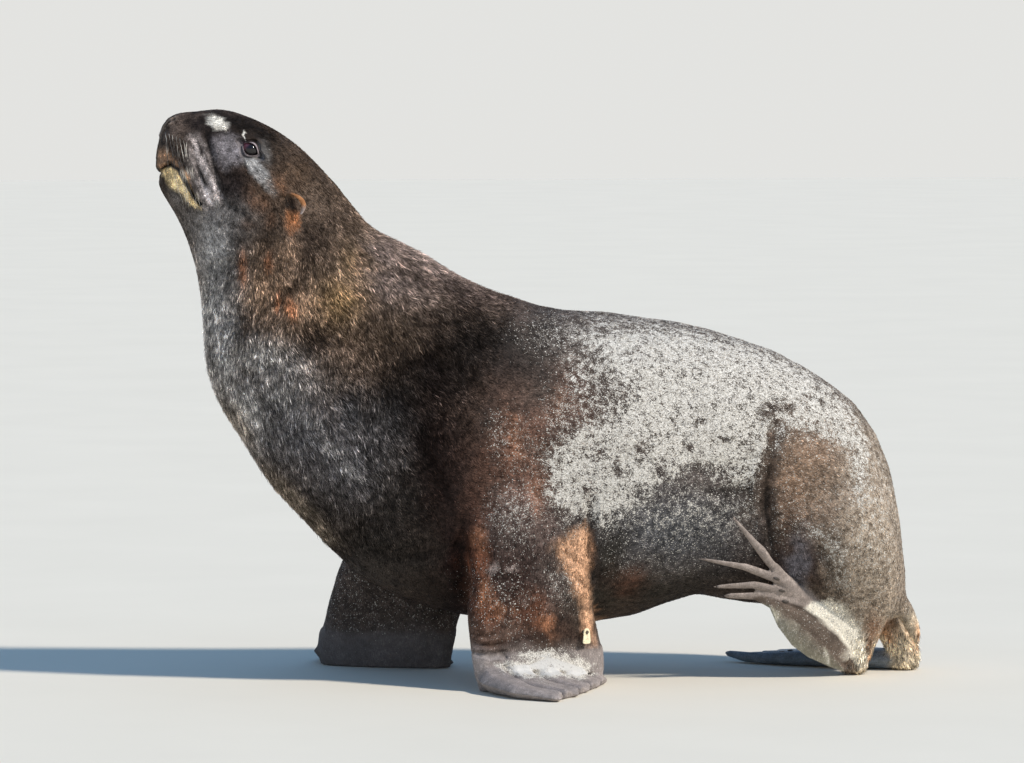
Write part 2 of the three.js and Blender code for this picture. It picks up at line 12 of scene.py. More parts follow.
import bpy
import numpy as np
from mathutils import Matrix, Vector


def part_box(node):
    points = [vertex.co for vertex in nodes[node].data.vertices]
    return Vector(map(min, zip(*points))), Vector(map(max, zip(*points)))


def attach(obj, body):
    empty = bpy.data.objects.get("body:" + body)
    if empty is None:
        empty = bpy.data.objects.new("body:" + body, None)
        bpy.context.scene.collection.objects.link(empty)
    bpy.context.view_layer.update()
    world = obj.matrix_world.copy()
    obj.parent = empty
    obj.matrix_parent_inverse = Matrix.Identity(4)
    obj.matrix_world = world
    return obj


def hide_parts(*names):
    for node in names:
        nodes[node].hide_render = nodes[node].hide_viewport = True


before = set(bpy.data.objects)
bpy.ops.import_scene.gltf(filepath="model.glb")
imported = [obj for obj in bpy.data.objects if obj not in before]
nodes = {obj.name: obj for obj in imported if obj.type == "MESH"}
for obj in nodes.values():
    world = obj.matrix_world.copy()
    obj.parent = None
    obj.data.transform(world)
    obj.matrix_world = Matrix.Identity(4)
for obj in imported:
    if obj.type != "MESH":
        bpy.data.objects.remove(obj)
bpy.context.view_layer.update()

# %% [markdown]
# Everything below is laid out in the animal's own millimetres: the nose points to -X, the left side
# faces -Y and the floor is Z = 0. The frame is centred on its box, so one offset carries those
# millimetres into the frame. The left eye's middle is known in both, which gives the offset.

# %% The animal's own millimetres
EYE_MM = np.array([-697.0, -80.0, 1270.0])
EYE_RADIUS = 21.0
eye_low, eye_high = (np.array(corner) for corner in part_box("eye_left"))
OFFSET = (eye_low + eye_high) / 2 * 1000 - EYE_MM
OFFSET[2] = 0


def to_frame(mm):
    """Millimetres of the animal to metres of the frame."""
    return (np.asarray(mm, float) + OFFSET) / 1000


def to_mm(metres):
    return np.asarray(metres) * 1000 - OFFSET


print("offset in mm:", OFFSET.round(2))

# %% [markdown]
# A few helpers are used all the way through. Blender's operators act on whatever is selected, so each
# one starts from a clean selection. Shapes are read and written as whole arrays of points, which is
# quick even for half a million of them.

# %% Small helpers


def only(obj):
    """Selects one object and makes it the active one."""
    bpy.ops.object.select_all(action="DESELECT")
    obj.select_set(True)
    bpy.context.view_layer.objects.active = obj
    return obj


def points_of(obj):
    flat = np.empty(len(obj.data.vertices) * 3, np.float32)
    obj.data.vertices.foreach_get("co", flat)
    return to_mm(flat.reshape(-1, 3).astype(float))


def normals_of(obj):
    flat = np.empty(len(obj.data.vertices) * 3, np.float32)
    obj.data.vertices.foreach_get("normal", flat)
    return flat.reshape(-1, 3).astype(float)


def set_points(obj, mm):
    obj.data.vertices.foreach_set("co", to_frame(mm).astype(np.float32).ravel())
    obj.data.update()


def set_attribute(mesh, name, kind, values):
    """Stores one value for each point. kind is FLOAT, FLOAT_VECTOR or FLOAT_COLOR."""
    field = {"FLOAT": "value", "FLOAT_VECTOR": "vector", "FLOAT_COLOR": "color"}[kind]
    layer = mesh.attributes.get(name) or mesh.attributes.new(name, kind, "POINT")
    layer.data.foreach_set(field, np.asarray(values, np.float32).ravel())


def get_attribute(mesh, name):
    values = np.empty(len(mesh.vertices), np.float32)
    mesh.attributes[name].data.foreach_get("value", values)
    return values


def smoothstep(low, high, values):
    t = np.clip((values - low) / (high - low), 0, 1)
    return t * t * (3 - 2 * t)


def bell(values):
    """1 where the value is 0, falling smoothly to 0 on both sides."""
    return np.exp(-(values**2))


def unit(vectors):
    return vectors / np.maximum(np.linalg.norm(vectors, axis=-1, keepdims=True), 1e-9)


def waves(mm, size, seed, count=28):
    """Soft seeded noise between about -1 and 1, whose lumps are about `size` mm across."""
    rng = np.random.default_rng(seed)
    turns = unit(rng.normal(size=(count, 3))) * (2 * np.pi / size) * rng.uniform(0.35, 1, (count, 1))
    shifts = rng.uniform(0, 2 * np.pi, count)
    total = np.zeros(len(mm))
    for turn, shift in zip(turns, shifts):
        total += np.sin(mm @ turn + shift)
    return total / math.sqrt(count) / 1.2


def apply_modifier(obj, kind, **settings):
    only(obj)
    modifier = obj.modifiers.new(kind.title(), kind)
    for name, value in settings.items():
        setattr(modifier, name, value)
    bpy.ops.object.modifier_apply(modifier=modifier.name)


def in_edit_mode(obj, operator, faces=None, **settings):
    """Runs one operator on the chosen faces of a mesh, or on all of it."""
    only(obj)
    bpy.ops.object.mode_set(mode="EDIT")
    bpy.ops.mesh.select_mode(type="FACE")
    bpy.ops.mesh.select_all(action="SELECT" if faces is None else "DESELECT")
    if faces is not None:
        bpy.ops.object.mode_set(mode="OBJECT")
        obj.data.polygons.foreach_set("select", faces)
        bpy.ops.object.mode_set(mode="EDIT")
    operator(**settings)
    bpy.ops.object.mode_set(mode="OBJECT")


# %% [markdown]
# ## The skin
#
# The solids are parted by thin cuts, but a real hide has none. The usual way to make one skin from
# several closed shapes is a voxel remesh: it samples the space they fill and wraps it in an even grid of
# faces. The copies are first swollen by a millimetre so that the cuts close. Each copy carries a number
# that says which piece it came from, and the remesh passes that on to the new points.

# %% Join copies of the flesh
FLESH = [
    "head", "nose_pad", "lower_jaw", "ear_left", "ear_right", "neck", "chest", "trunk", "hindquarters",
    "tail", "foreleg_left", "foreleg_right", "hind_leg_left", "hind_leg_right", "fore_flipper_left",
    "fore_flipper_right", "hind_flipper_left", "hind_flipper_right",
]
SWELL = 0.9  # mm
VOXEL = 3.1  # mm

copies = []
for number, name in enumerate(FLESH):
    twin = nodes[name].copy()
    twin.data = nodes[name].data.copy()
    twin.name = "flesh_" + name
    bpy.context.collection.objects.link(twin)
    twin.parent = None
    in_edit_mode(twin, bpy.ops.mesh.remove_doubles, threshold=1e-5)
    apply_modifier(twin, "DISPLACE", strength=SWELL / 1000, mid_level=0)
    twin.data.materials.clear()
    set_attribute(twin.data, "piece", "FLOAT", np.full(len(twin.data.vertices), number))
    copies.append(twin)

only(copies[0])
for twin in copies:
    twin.select_set(True)
bpy.ops.object.join()
skin = bpy.context.object
skin.name = skin.data.name = "skin"
skin.data.remesh_voxel_size = VOXEL / 1000
skin.data.use_remesh_preserve_attributes = True
bpy.ops.object.voxel_remesh()
print("remeshed skin:", len(skin.data.vertices), "points")

# %% [markdown]
# The solids are faceted, and the remesh copies the facets. Relaxing a point moves it towards the middle
# of its neighbours. Many rounds of that iron out the broad facets of the body, but they would melt the
# thin toes, so each point has its own share: full on the body, almost none on the flippers and ears.

# %% Relax the facets


def edges_of(mesh):
    flat = np.empty(len(mesh.edges) * 2, np.int64)
    mesh.edges.foreach_get("vertices", flat)
    return flat.reshape(-1, 2)


def relax(values, edges, share, rounds):
    """Moves each row of values towards the mean of its neighbours, `rounds` times."""
    values = np.array(values, float).reshape(len(values), -1)
    count = np.bincount(edges.ravel(), minlength=len(values))[:, None]
    share = np.broadcast_to(share, len(values))[:, None]
    a, b = edges.T
    for _ in range(rounds):
        total = np.stack(
            [np.bincount(a, v[b], len(v)) + np.bincount(b, v[a], len(v)) for v in values.T], axis=1
        )
        values += share * (total / np.maximum(count, 1) - values)
    return values


piece = np.rint(get_attribute(skin.data, "piece")).astype(int)
edges = edges_of(skin.data)


def mask_of(*names, rounds=12):
    """How much each point of the skin belongs to these pieces, with soft edges."""
    inside = np.isin(piece, [FLESH.index(name) for name in names]).astype(float)
    return relax(inside, edges, 0.5, rounds)[:, 0]


fins = mask_of("fore_flipper_left", "fore_flipper_right", "hind_flipper_left", "hind_flipper_right")
toes = mask_of("hind_flipper_left", "hind_flipper_right")
ears = mask_of("ear_left", "ear_right", rounds=4)
points = points_of(skin)
points = relax(points, edges, 0.45 * (1 - 0.75 * smoothstep(0.1, 0.5, toes)), 3)
body_share = 0.6 * (1 - smoothstep(0.0, 0.5, fins)) * (1 - smoothstep(0.0, 0.3, ears))
face_share = smoothstep(-870, -700, points[:, 0])
points = relax(points, edges, body_share * (0.12 + 0.88 * face_share), 70)
points = relax(points, edges, 0.5 * smoothstep(0.1, 0.6, fins - toes), 7)
set_points(skin, points)
set_attribute(skin.data, "fins", "FLOAT", fins)
set_attribute(skin.data, "toes", "FLOAT", toes)
set_attribute(skin.data, "ears", "FLOAT", ears)
print("relaxed")

# %% [markdown]
# ### The face
#
# The face has much finer forms than the body: lids, nostrils, lips. The grid is split once more around
# them, so that there are points enough to carve.

# %% A finer grid round the eyes, nose, mouth and ears
MOUTH = np.array(
    [[-922, 1206], [-913, 1217], [-902, 1229], [-886, 1235], [-868, 1223], [-852, 1193], [-833, 1160],
     [-814, 1138]]
)  # seen from the side, X and Z, from the front of the lips to the corner


def distance_to_line(xz, line):
    """The distance of each point to a line of points, seen from the side, and how far along it is."""
    best = np.full(len(xz), 1e9)
    along = np.zeros(len(xz))
    lengths = np.linalg.norm(np.diff(line, axis=0), axis=1)
    start = 0.0
    for a, b, length in zip(line[:-1], line[1:], lengths):
        t = np.clip(((xz - a) @ (b - a)) / length**2, 0, 1)
        d = np.linalg.norm(xz - a - t[:, None] * (b - a), axis=1)
        nearer = d < best
        best[nearer] = d[nearer]
        along[nearer] = (start + t * length)[nearer]
        start += length
    return best, along / lengths.sum()


def mirrored(mm):
    """The same points, all on the left side."""
    return np.column_stack([mm[:, 0], -np.abs(mm[:, 1]), mm[:, 2]])


def away(mm, place):
    """How far each point is from a place on the left side, or from its twin on the right."""
    return np.linalg.norm(mirrored(mm) - place, axis=1)


EAR_MM = [-592, -158, 1148]


def near_face(mm):
    eye = away(mm, EYE_MM) < 62
    nose = away(mm, [-905, -10, 1322]) < 50
    ear = away(mm, EAR_MM) < 45
    lips = (distance_to_line(mm[:, [0, 2]], MOUTH)[0] < 22) & (mm[:, 0] < -770)
    return eye | nose | ear | lips


def face_centres(mesh):
    flat = np.empty(len(mesh.polygons) * 3, np.float32)
    mesh.polygons.foreach_get("center", flat)
    return to_mm(flat.reshape(-1, 3))


by_face = near_face(face_centres(skin.data))
in_edit_mode(skin, bpy.ops.mesh.subdivide, faces=by_face, number_cuts=1, smoothness=0)
by_eye = away(face_centres(skin.data), EYE_MM) < 36
in_edit_mode(skin, bpy.ops.mesh.subdivide, faces=by_eye, number_cuts=1, smoothness=0)
print("with a finer face:", len(skin.data.vertices), "points")

# %% [markdown]
# The lids lie on the eyeball like the rim of a cup. Each point near the eye is moved straight out or in:
# inside the opening it goes behind the ball, at the rim it stands just in front of it, and further out it
# runs back into the cheek and brow.

# %% Lids
EYE_OUT = unit(np.array([-0.16, -0.97, 0.10]))
EYE_ALONG = unit(np.array([0.80, 0.0, -0.60]))  # from the front corner to the hind corner
EYE_ALONG = unit(EYE_ALONG - EYE_OUT * (EYE_ALONG @ EYE_OUT))
EYE_UP = np.cross(EYE_OUT, EYE_ALONG)
EYE_UP *= np.sign(EYE_UP[2])
OPENING = (19.6, 13.2)  # half the length and height of the opening


def eye_map(mm):
    """Places near the left eye: along the opening, up across it, outwards, and 1 on the lids' rim."""
    ray = mirrored(mm) - EYE_MM
    u, v, w = ray @ EYE_ALONG, ray @ EYE_UP, ray @ EYE_OUT
    high = OPENING[1] * (1 - 0.45 * np.clip(u / OPENING[0], -1, 1) ** 2)  # an almond, not an oval
    return u, v, w, np.sqrt((u / OPENING[0]) ** 2 + (v / high) ** 2)


LID_THICKNESS, OPENING_DEPTH = 3.6, 9  # mm


def carve_eyes(mm):
    left = mirrored(mm)
    side = np.where(mm[:, 1] > 0, -1.0, 1.0)
    u, v, w, ring = eye_map(mm)
    from_axis = u**2 + v**2
    ball = np.sqrt(np.maximum(EYE_RADIUS**2 - from_axis, 0))
    lids = np.sqrt(np.maximum((EYE_RADIUS + LID_THICKNESS) ** 2 - from_axis, 40))
    target = ball - OPENING_DEPTH + (lids - ball + OPENING_DEPTH) * smoothstep(0.97, 1.07, ring)
    lids_share = 1 - smoothstep(1.25, 2.3, ring)
    target = w + (target - w) * lids_share
    target -= 3.4 * bell((ring - 1.75) / 0.2)  # the fold round the lids
    target += 6 * np.exp(-((u / 30) ** 2) - ((v - 30) / 8) ** 2)  # the brow
    target += 3 * np.exp(-((u / 22) ** 2) - ((v + 25) / 6) ** 2)  # the bag below
    target -= 5 * np.exp(-(((u + 24) / 6) ** 2) - ((v - 1) / 3) ** 2)  # the front corner
    near = (w > -6) & (np.sqrt(from_axis) < 62)
    out = left + EYE_OUT * np.where(near, target - w, 0)[:, None]
    out[:, 1] *= side
    return out


points = points_of(skin)
close = away(points, EYE_MM) < 75
points[close] = carve_eyes(points[close])

# %% [markdown]
# The mouth is shut. Its line is a groove, with the upper lip hanging a little over it and the lower lip
# swelling under it. The nostrils are two slits in the nose pad, and the whisker pads have rows of pits.

# %% Mouth, nostrils and whisker pads
outward = normals_of(skin)
jaw = points[:, 0] < -740
xz = points[:, [0, 2]]
from_mouth, along_mouth = distance_to_line(xz[jaw], MOUTH)
above = (xz[jaw, 1] - np.interp(xz[jaw, 0], MOUTH[:, 0], MOUTH[:, 1])) > 0
above |= xz[jaw, 0] > -794
fade = 1 - smoothstep(0.86, 1.0, along_mouth)
front = smoothstep(0.22, 0.0, along_mouth)
lift = -10 * bell(from_mouth / 3.2) * fade * (1 - 0.6 * front)
lift += np.where(above, 4.2, 2.6) * bell((from_mouth - 9) / 6) * fade * (1 - front)
lift -= 7 * front * bell(from_mouth / 16)
points[jaw] += outward[jaw] * lift[:, None]

NOSTRIL = np.array([[-916, -13, 1312], [-908, -26, 1317], [-893, -36, 1327], [-876, -40, 1338]])


def from_nostril(mm):
    """How far each point is from the line of the nostril."""
    left = mirrored(mm)
    nearest = np.full(len(left), 1e9)
    for a, b in zip(NOSTRIL[:-1], NOSTRIL[1:]):
        t = np.clip((left - a) @ (b - a) / ((b - a) @ (b - a)), 0, 1)
        nearest = np.minimum(nearest, np.linalg.norm(left - a - t[:, None] * (b - a), axis=1))
    return nearest


nose_zone = away(points, NOSTRIL[1]) < 70
nostril = from_nostril(points[nose_zone])
carve = -9 * bell(nostril / 4) + 3.2 * bell((nostril - 10.5) / 4.5)
points[nose_zone] += outward[nose_zone] * carve[:, None]

WHISKER_ROWS = 5


def whisker_roots():
    """Rows of follicles on the left whisker pad, from the front to the back."""
    roots = []
    for row in range(WHISKER_ROWS):
        for k in range(7 - row % 2):
            t = k / 6
            x = -899 + 50 * t + 3 * row
            z = 1312 - 15 * row - 22 * t
            roots.append((x, z))
    return np.array(roots)


pads = (points[:, 0] < -825) & (np.abs(points[:, 1]) > 22) & (points[:, 2] > 1220)
pits = np.zeros(pads.sum())
for x, z in whisker_roots():
    pits += np.exp(-(((points[pads, 0] - x) ** 2 + (points[pads, 2] - z) ** 2) / 2.8**2))
points[pads] -= outward[pads] * (1.3 * np.minimum(pits, 1))[:, None]

# %% [markdown]
# ### Folds of the body
#
# Loose hide folds where it is squeezed: in front of the thigh, round the wrist, across the neck where
# the head is raised, and behind the arm. Each fold is a line seen from the side, and the hide is pushed
# in along it and out beside it.

# %% Folds
FOLDS = [  # name, side (-1 left, 1 right, 0 both), depth, width, points (X, Z)
    ("thigh crease", 0, 9, 13, [[548, 640], [533, 560], [519, 480], [519, 420], [534, 350], [552, 285]]),
    ("flank fold", 0, 4, 16, [[330, 470], [420, 455], [505, 470]]),
    ("upper flank fold", 0, 3, 16, [[300, 520], [400, 508], [500, 530]]),
    ("armpit", -1, 7, 12, [[95, 470], [88, 380], [94, 300], [108, 215]]),
    ("arm front", -1, 8, 12, [[-205, 420], [-214, 340], [-206, 260], [-200, 205]]),
    ("elbow fold", -1, 3, 8, [[20, 330], [60, 300], [104, 262]]),
    ("elbow fold low", -1, 3, 8, [[30, 285], [66, 255], [112, 218]]),
    ("forearm fold", -1, 2.5, 7, [[-150, 268], [-95, 262], [-40, 276]]),
    ("wrist fold", -1, 5, 6, [[-192, 112], [-150, 108], [-110, 116]]),
    ("wrist fold low", -1, 5, 6, [[-190, 92], [-150, 86], [-108, 94]]),
    ("wrist fold high", -1, 4, 6, [[-190, 132], [-160, 130], [-125, 140]]),
    ("whisker pad", 0, 4, 7, [[-806, 1318], [-792, 1262], [-780, 1202], [-764, 1146]]),
    ("muzzle fold", 0, 2, 5, [[-838, 1290], [-826, 1240], [-812, 1190], [-796, 1150]]),
    ("snout fold", 0, 2.5, 6, [[-872, 1352], [-850, 1340], [-832, 1318]]),
    ("cheek fold", 0, 2, 8, [[-764, 1146], [-720, 1120], [-690, 1080]]),
    ("throat fold", 0, 3, 16, [[-800, 985], [-700, 1010], [-640, 1070]]),
    ("neck fold", 0, 4, 22, [[-790, 860], [-660, 905], [-540, 1010]]),
    ("low neck fold", 0, 3.5, 26, [[-770, 720], [-600, 790], [-440, 930]]),
    ("chest fold", 0, 5, 20, [[-470, 330], [-360, 300], [-240, 330]]),
    ("shoulder fold", 0, 4, 24, [[-330, 620], [-260, 480], [-215, 380]]),
    ("knee fold", 0, 4, 14, [[640, 330], [680, 280], [700, 210]]),
]
for name, side, depth, width, line in FOLDS:
    line = np.array(line, float)
    low, high = line.min(0) - 3 * width, line.max(0) + 3 * width
    zone = (points[:, [0, 2]] > low).all(1) & (points[:, [0, 2]] < high).all(1)
    zone &= (points[:, 1] * side > 40) if side else (np.abs(points[:, 1]) > 30)
    d, t = distance_to_line(points[zone][:, [0, 2]], line)
    d = d + 0.25 * width * waves(points[zone], 60, 5)
    fade = np.sqrt(np.clip(4 * t * (1 - t), 0, 1))
    push = -depth * bell(d / width) + 0.45 * depth * bell((d - 2 * width) / width)
    points[zone] += outward[zone] * (push * fade)[:, None]

# The web of a fore flipper sinks between its digits. These lines run over the top, seen from above.
GROOVES = {
    -1: [[[-128, -262], [-92, -390], [14, -500]], [[-62, -240], [-18, -330], [58, -410]],
         [[0, -205], [40, -276], [94, -320]], [[56, -170], [88, -205], [128, -228]]],
    1: [[[-458, 300], [-430, 420], [-340, 528]], [[-396, 282], [-356, 370], [-292, 444]],
        [[-336, 262], [-294, 320], [-246, 368]], [[-276, 240], [-242, 272], [-206, 300]]],
}
for side, lines in GROOVES.items():
    zone = (points[:, 1] * side > 130) & (points[:, 2] < 110) & (points[:, 0] < 300) & (outward[:, 2] > 0.1)
    for line in lines:
        d, t = distance_to_line(points[zone][:, :2], np.array(line, float))
        push = -8 * bell(d / 8) + 4 * bell((d - 20) / 10)
        points[zone] += outward[zone] * (push * smoothstep(0, 0.3, t))[:, None]
set_points(skin, points)

# Muscle and loose hide are never quite smooth.
outward = normals_of(skin)
fins = get_attribute(skin.data, "fins")
ears = get_attribute(skin.data, "ears")
quiet = (1 - smoothstep(0, 0.6, fins)) * smoothstep(-860, -740, points[:, 0]) * (1 - np.clip(ears * 3, 0, 1))
points += outward * (quiet * (1.9 * waves(points, 150, 11) + 0.8 * waves(points, 46, 12)))[:, None]
print("carved")

# %% [markdown]
# ### Room for the coat
#
# The solids reach out to the tips of the fur, so the skin has to lie inside them by the depth of the
# coat: most on the mane of the neck, chest and shoulders, little on the short fur, and none on the bare
# flippers and nose. The tufts grown later are likewise longest on the mane.

# %% How deep the coat is
AXIS = np.array(
    [[-916, 1263], [-894, 1256], [-878, 1250], [-854, 1237], [-829, 1225], [-802, 1207], [-768, 1178],
     [-735, 1142], [-700, 1095], [-669, 1040], [-642, 981], [-613, 912], [-568, 853], [-504, 795],
     [-430, 720], [-338, 652], [-242, 583], [-125, 531], [18, 509], [176, 500], [313, 501], [420, 500],
     [520, 480], [616, 442], [698, 407], [751, 357], [785, 285], [808, 224], [831, 160]]
)  # the middle of the body, seen from the side
AXIS_WAY = unit(np.gradient(AXIS, axis=0))
AXIS_RUN = np.concatenate([[0], np.cumsum(np.linalg.norm(np.diff(AXIS, axis=0), axis=1))])


def along_body(mm):
    """How far each point is along the body's middle, in mm from the nose, and the body's way there."""
    xz = mm[:, [0, 2]]
    total = np.zeros(len(mm))
    run = np.zeros(len(mm))
    way = np.zeros((len(mm), 2))
    for spot, heading, distance in zip(AXIS, AXIS_WAY, AXIS_RUN):
        off = xz - spot
        # Distance counts along the body, so a section's points all belong to that section.
        weight = np.exp(-((off @ heading) ** 2) / 60**2 - (off**2).sum(1) / 340**2)
        total += weight
        run += weight * distance
        way += weight[:, None] * heading
    total = np.maximum(total, 1e-12)
    return run / total, unit(way)


def mane_of(mm, run):
    """1 in the long coat of the neck, chest and shoulders, falling to 0 at the face and the back."""
    start = smoothstep(210, 520, run)
    end = 1 - smoothstep(860, 1050, run)
    low = smoothstep(220, 380, mm[:, 2])
    by_ear = bell(away(mm, EAR_MM) / 75)
    return start * end * low * (1 - 0.8 * by_ear)


def coat_depth(run, mane, bare):
    face = 1 - smoothstep(120, 330, run)
    depth = 2.2 + 7.2 * mane + 0.4 * (1 - face)
    depth = depth * (1 - 0.75 * face)
    return depth * (1 - bare)


run, way = along_body(points)
mane = mane_of(points, run)
shins = smoothstep(210, 60, points[:, 2]) * (1 - fins) * 0.6
bare = np.clip(np.maximum(fins, shins), 0, 1)
bare = np.maximum(bare, np.exp(-(away(points, [-912, 0, 1328]) / 34) ** 4))
bare = np.maximum(bare, np.clip(ears * 2, 0, 1))
bare = np.maximum(bare, 1 - smoothstep(30, 44, away(points, EYE_MM)))
inset = SWELL + coat_depth(run, mane, bare)
points -= outward * inset[:, None]
points[:, 2] = np.maximum(points[:, 2], 0)
set_points(skin, points)
set_attribute(skin.data, "bare", "FLOAT", bare)
print("skin inset by", inset.min().round(2), "to", inset.max().round(2), "mm")

# %% [markdown]
# The even grid has far more faces than flat places need. Decimate merges the flattest ones first, so the
# face and toes keep theirs. The skin is then unwrapped, because every tuft will take its place on the
# coat's map from the place of its root on the skin.

# %% Thin out the grid and unwrap it
SKIN_TRIANGLES = 190_000
in_edit_mode(skin, bpy.ops.mesh.quads_convert_to_tris, quad_method="FIXED")
plain = skin.vertex_groups.new(name="plain")
keep = near_face(points_of(skin))
plain.add(np.nonzero(~keep)[0].tolist(), 1.0, "REPLACE")
plain.add(np.nonzero(keep)[0].tolist(), 0.25, "REPLACE")
apply_modifier(skin, "DECIMATE", ratio=SKIN_TRIANGLES / len(skin.data.polygons), vertex_group="plain")
skin.vertex_groups.clear()
in_edit_mode(skin, bpy.ops.uv.smart_project, angle_limit=math.radians(60), island_margin=0.001)
skin.data.uv_layers[0].name = "unwrap"
bpy.ops.object.shade_smooth()
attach(skin, "root")
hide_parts(*FLESH)
print("skin:", len(skin.data.polygons), "triangles")

# %% [markdown]
# ## Markings
#
# Skin and tufts have to carry the same colours, so both ask one function. It looks at a point as on a
# side drawing of the animal, in units of 2.4 mm, and lays soft patches over each other like washes of
# paint. The same function also says how thickly dried sand lies there. Fine grain comes later, from the
# materials.

# %% A side drawing to place the markings on
UNIT = 2.4  # mm


def drawing(mm):
    """Column and row of each point on the side drawing. Both sides of the animal share it."""
    depth = np.abs(mm[:, 1])
    across = 0.9945 * mm[:, 0] + 0.1045 * depth + 66.2
    up = 0.998 * mm[:, 2] - 0.0607 * depth + 0.0064 * mm[:, 0] - 709.3
    near = 14000 / (14000 - 0.9927 * depth + 0.1043 * (mm[:, 0] + 66.6) - 0.061 * (mm[:, 2] - 711))
    return 512 + across * near / UNIT, 381.5 - up * near / UNIT


def linear(*rgb):
    """A display colour, 0 to 255, as linear light."""
    values = np.array(rgb, float) / 255
    return np.where(values <= 0.04045, values / 12.92, ((values + 0.055) / 1.055) ** 2.4)


COAL, DARK_FUR_AND_SHADE, DARK = linear(12, 11, 11), linear(50, 46, 43), linear(48, 40, 36)
BROWN, UMBER, MAROON = linear(116, 98, 84), linear(70, 58, 50), linear(26, 13, 11)
RUST, AMBER, ORANGE = linear(112, 70, 50), linear(176, 120, 86), linear(208, 162, 128)
TAN, OLIVE, CREAM = linear(158, 131, 109), linear(138, 113, 80), linear(252, 244, 226)
SILVER, GREY, SLATE = linear(196, 192, 188), linear(146, 140, 136), linear(114, 112, 114)
MAUVE, BONE, INK = linear(143, 127, 119), linear(226, 222, 212), linear(14, 11, 11)

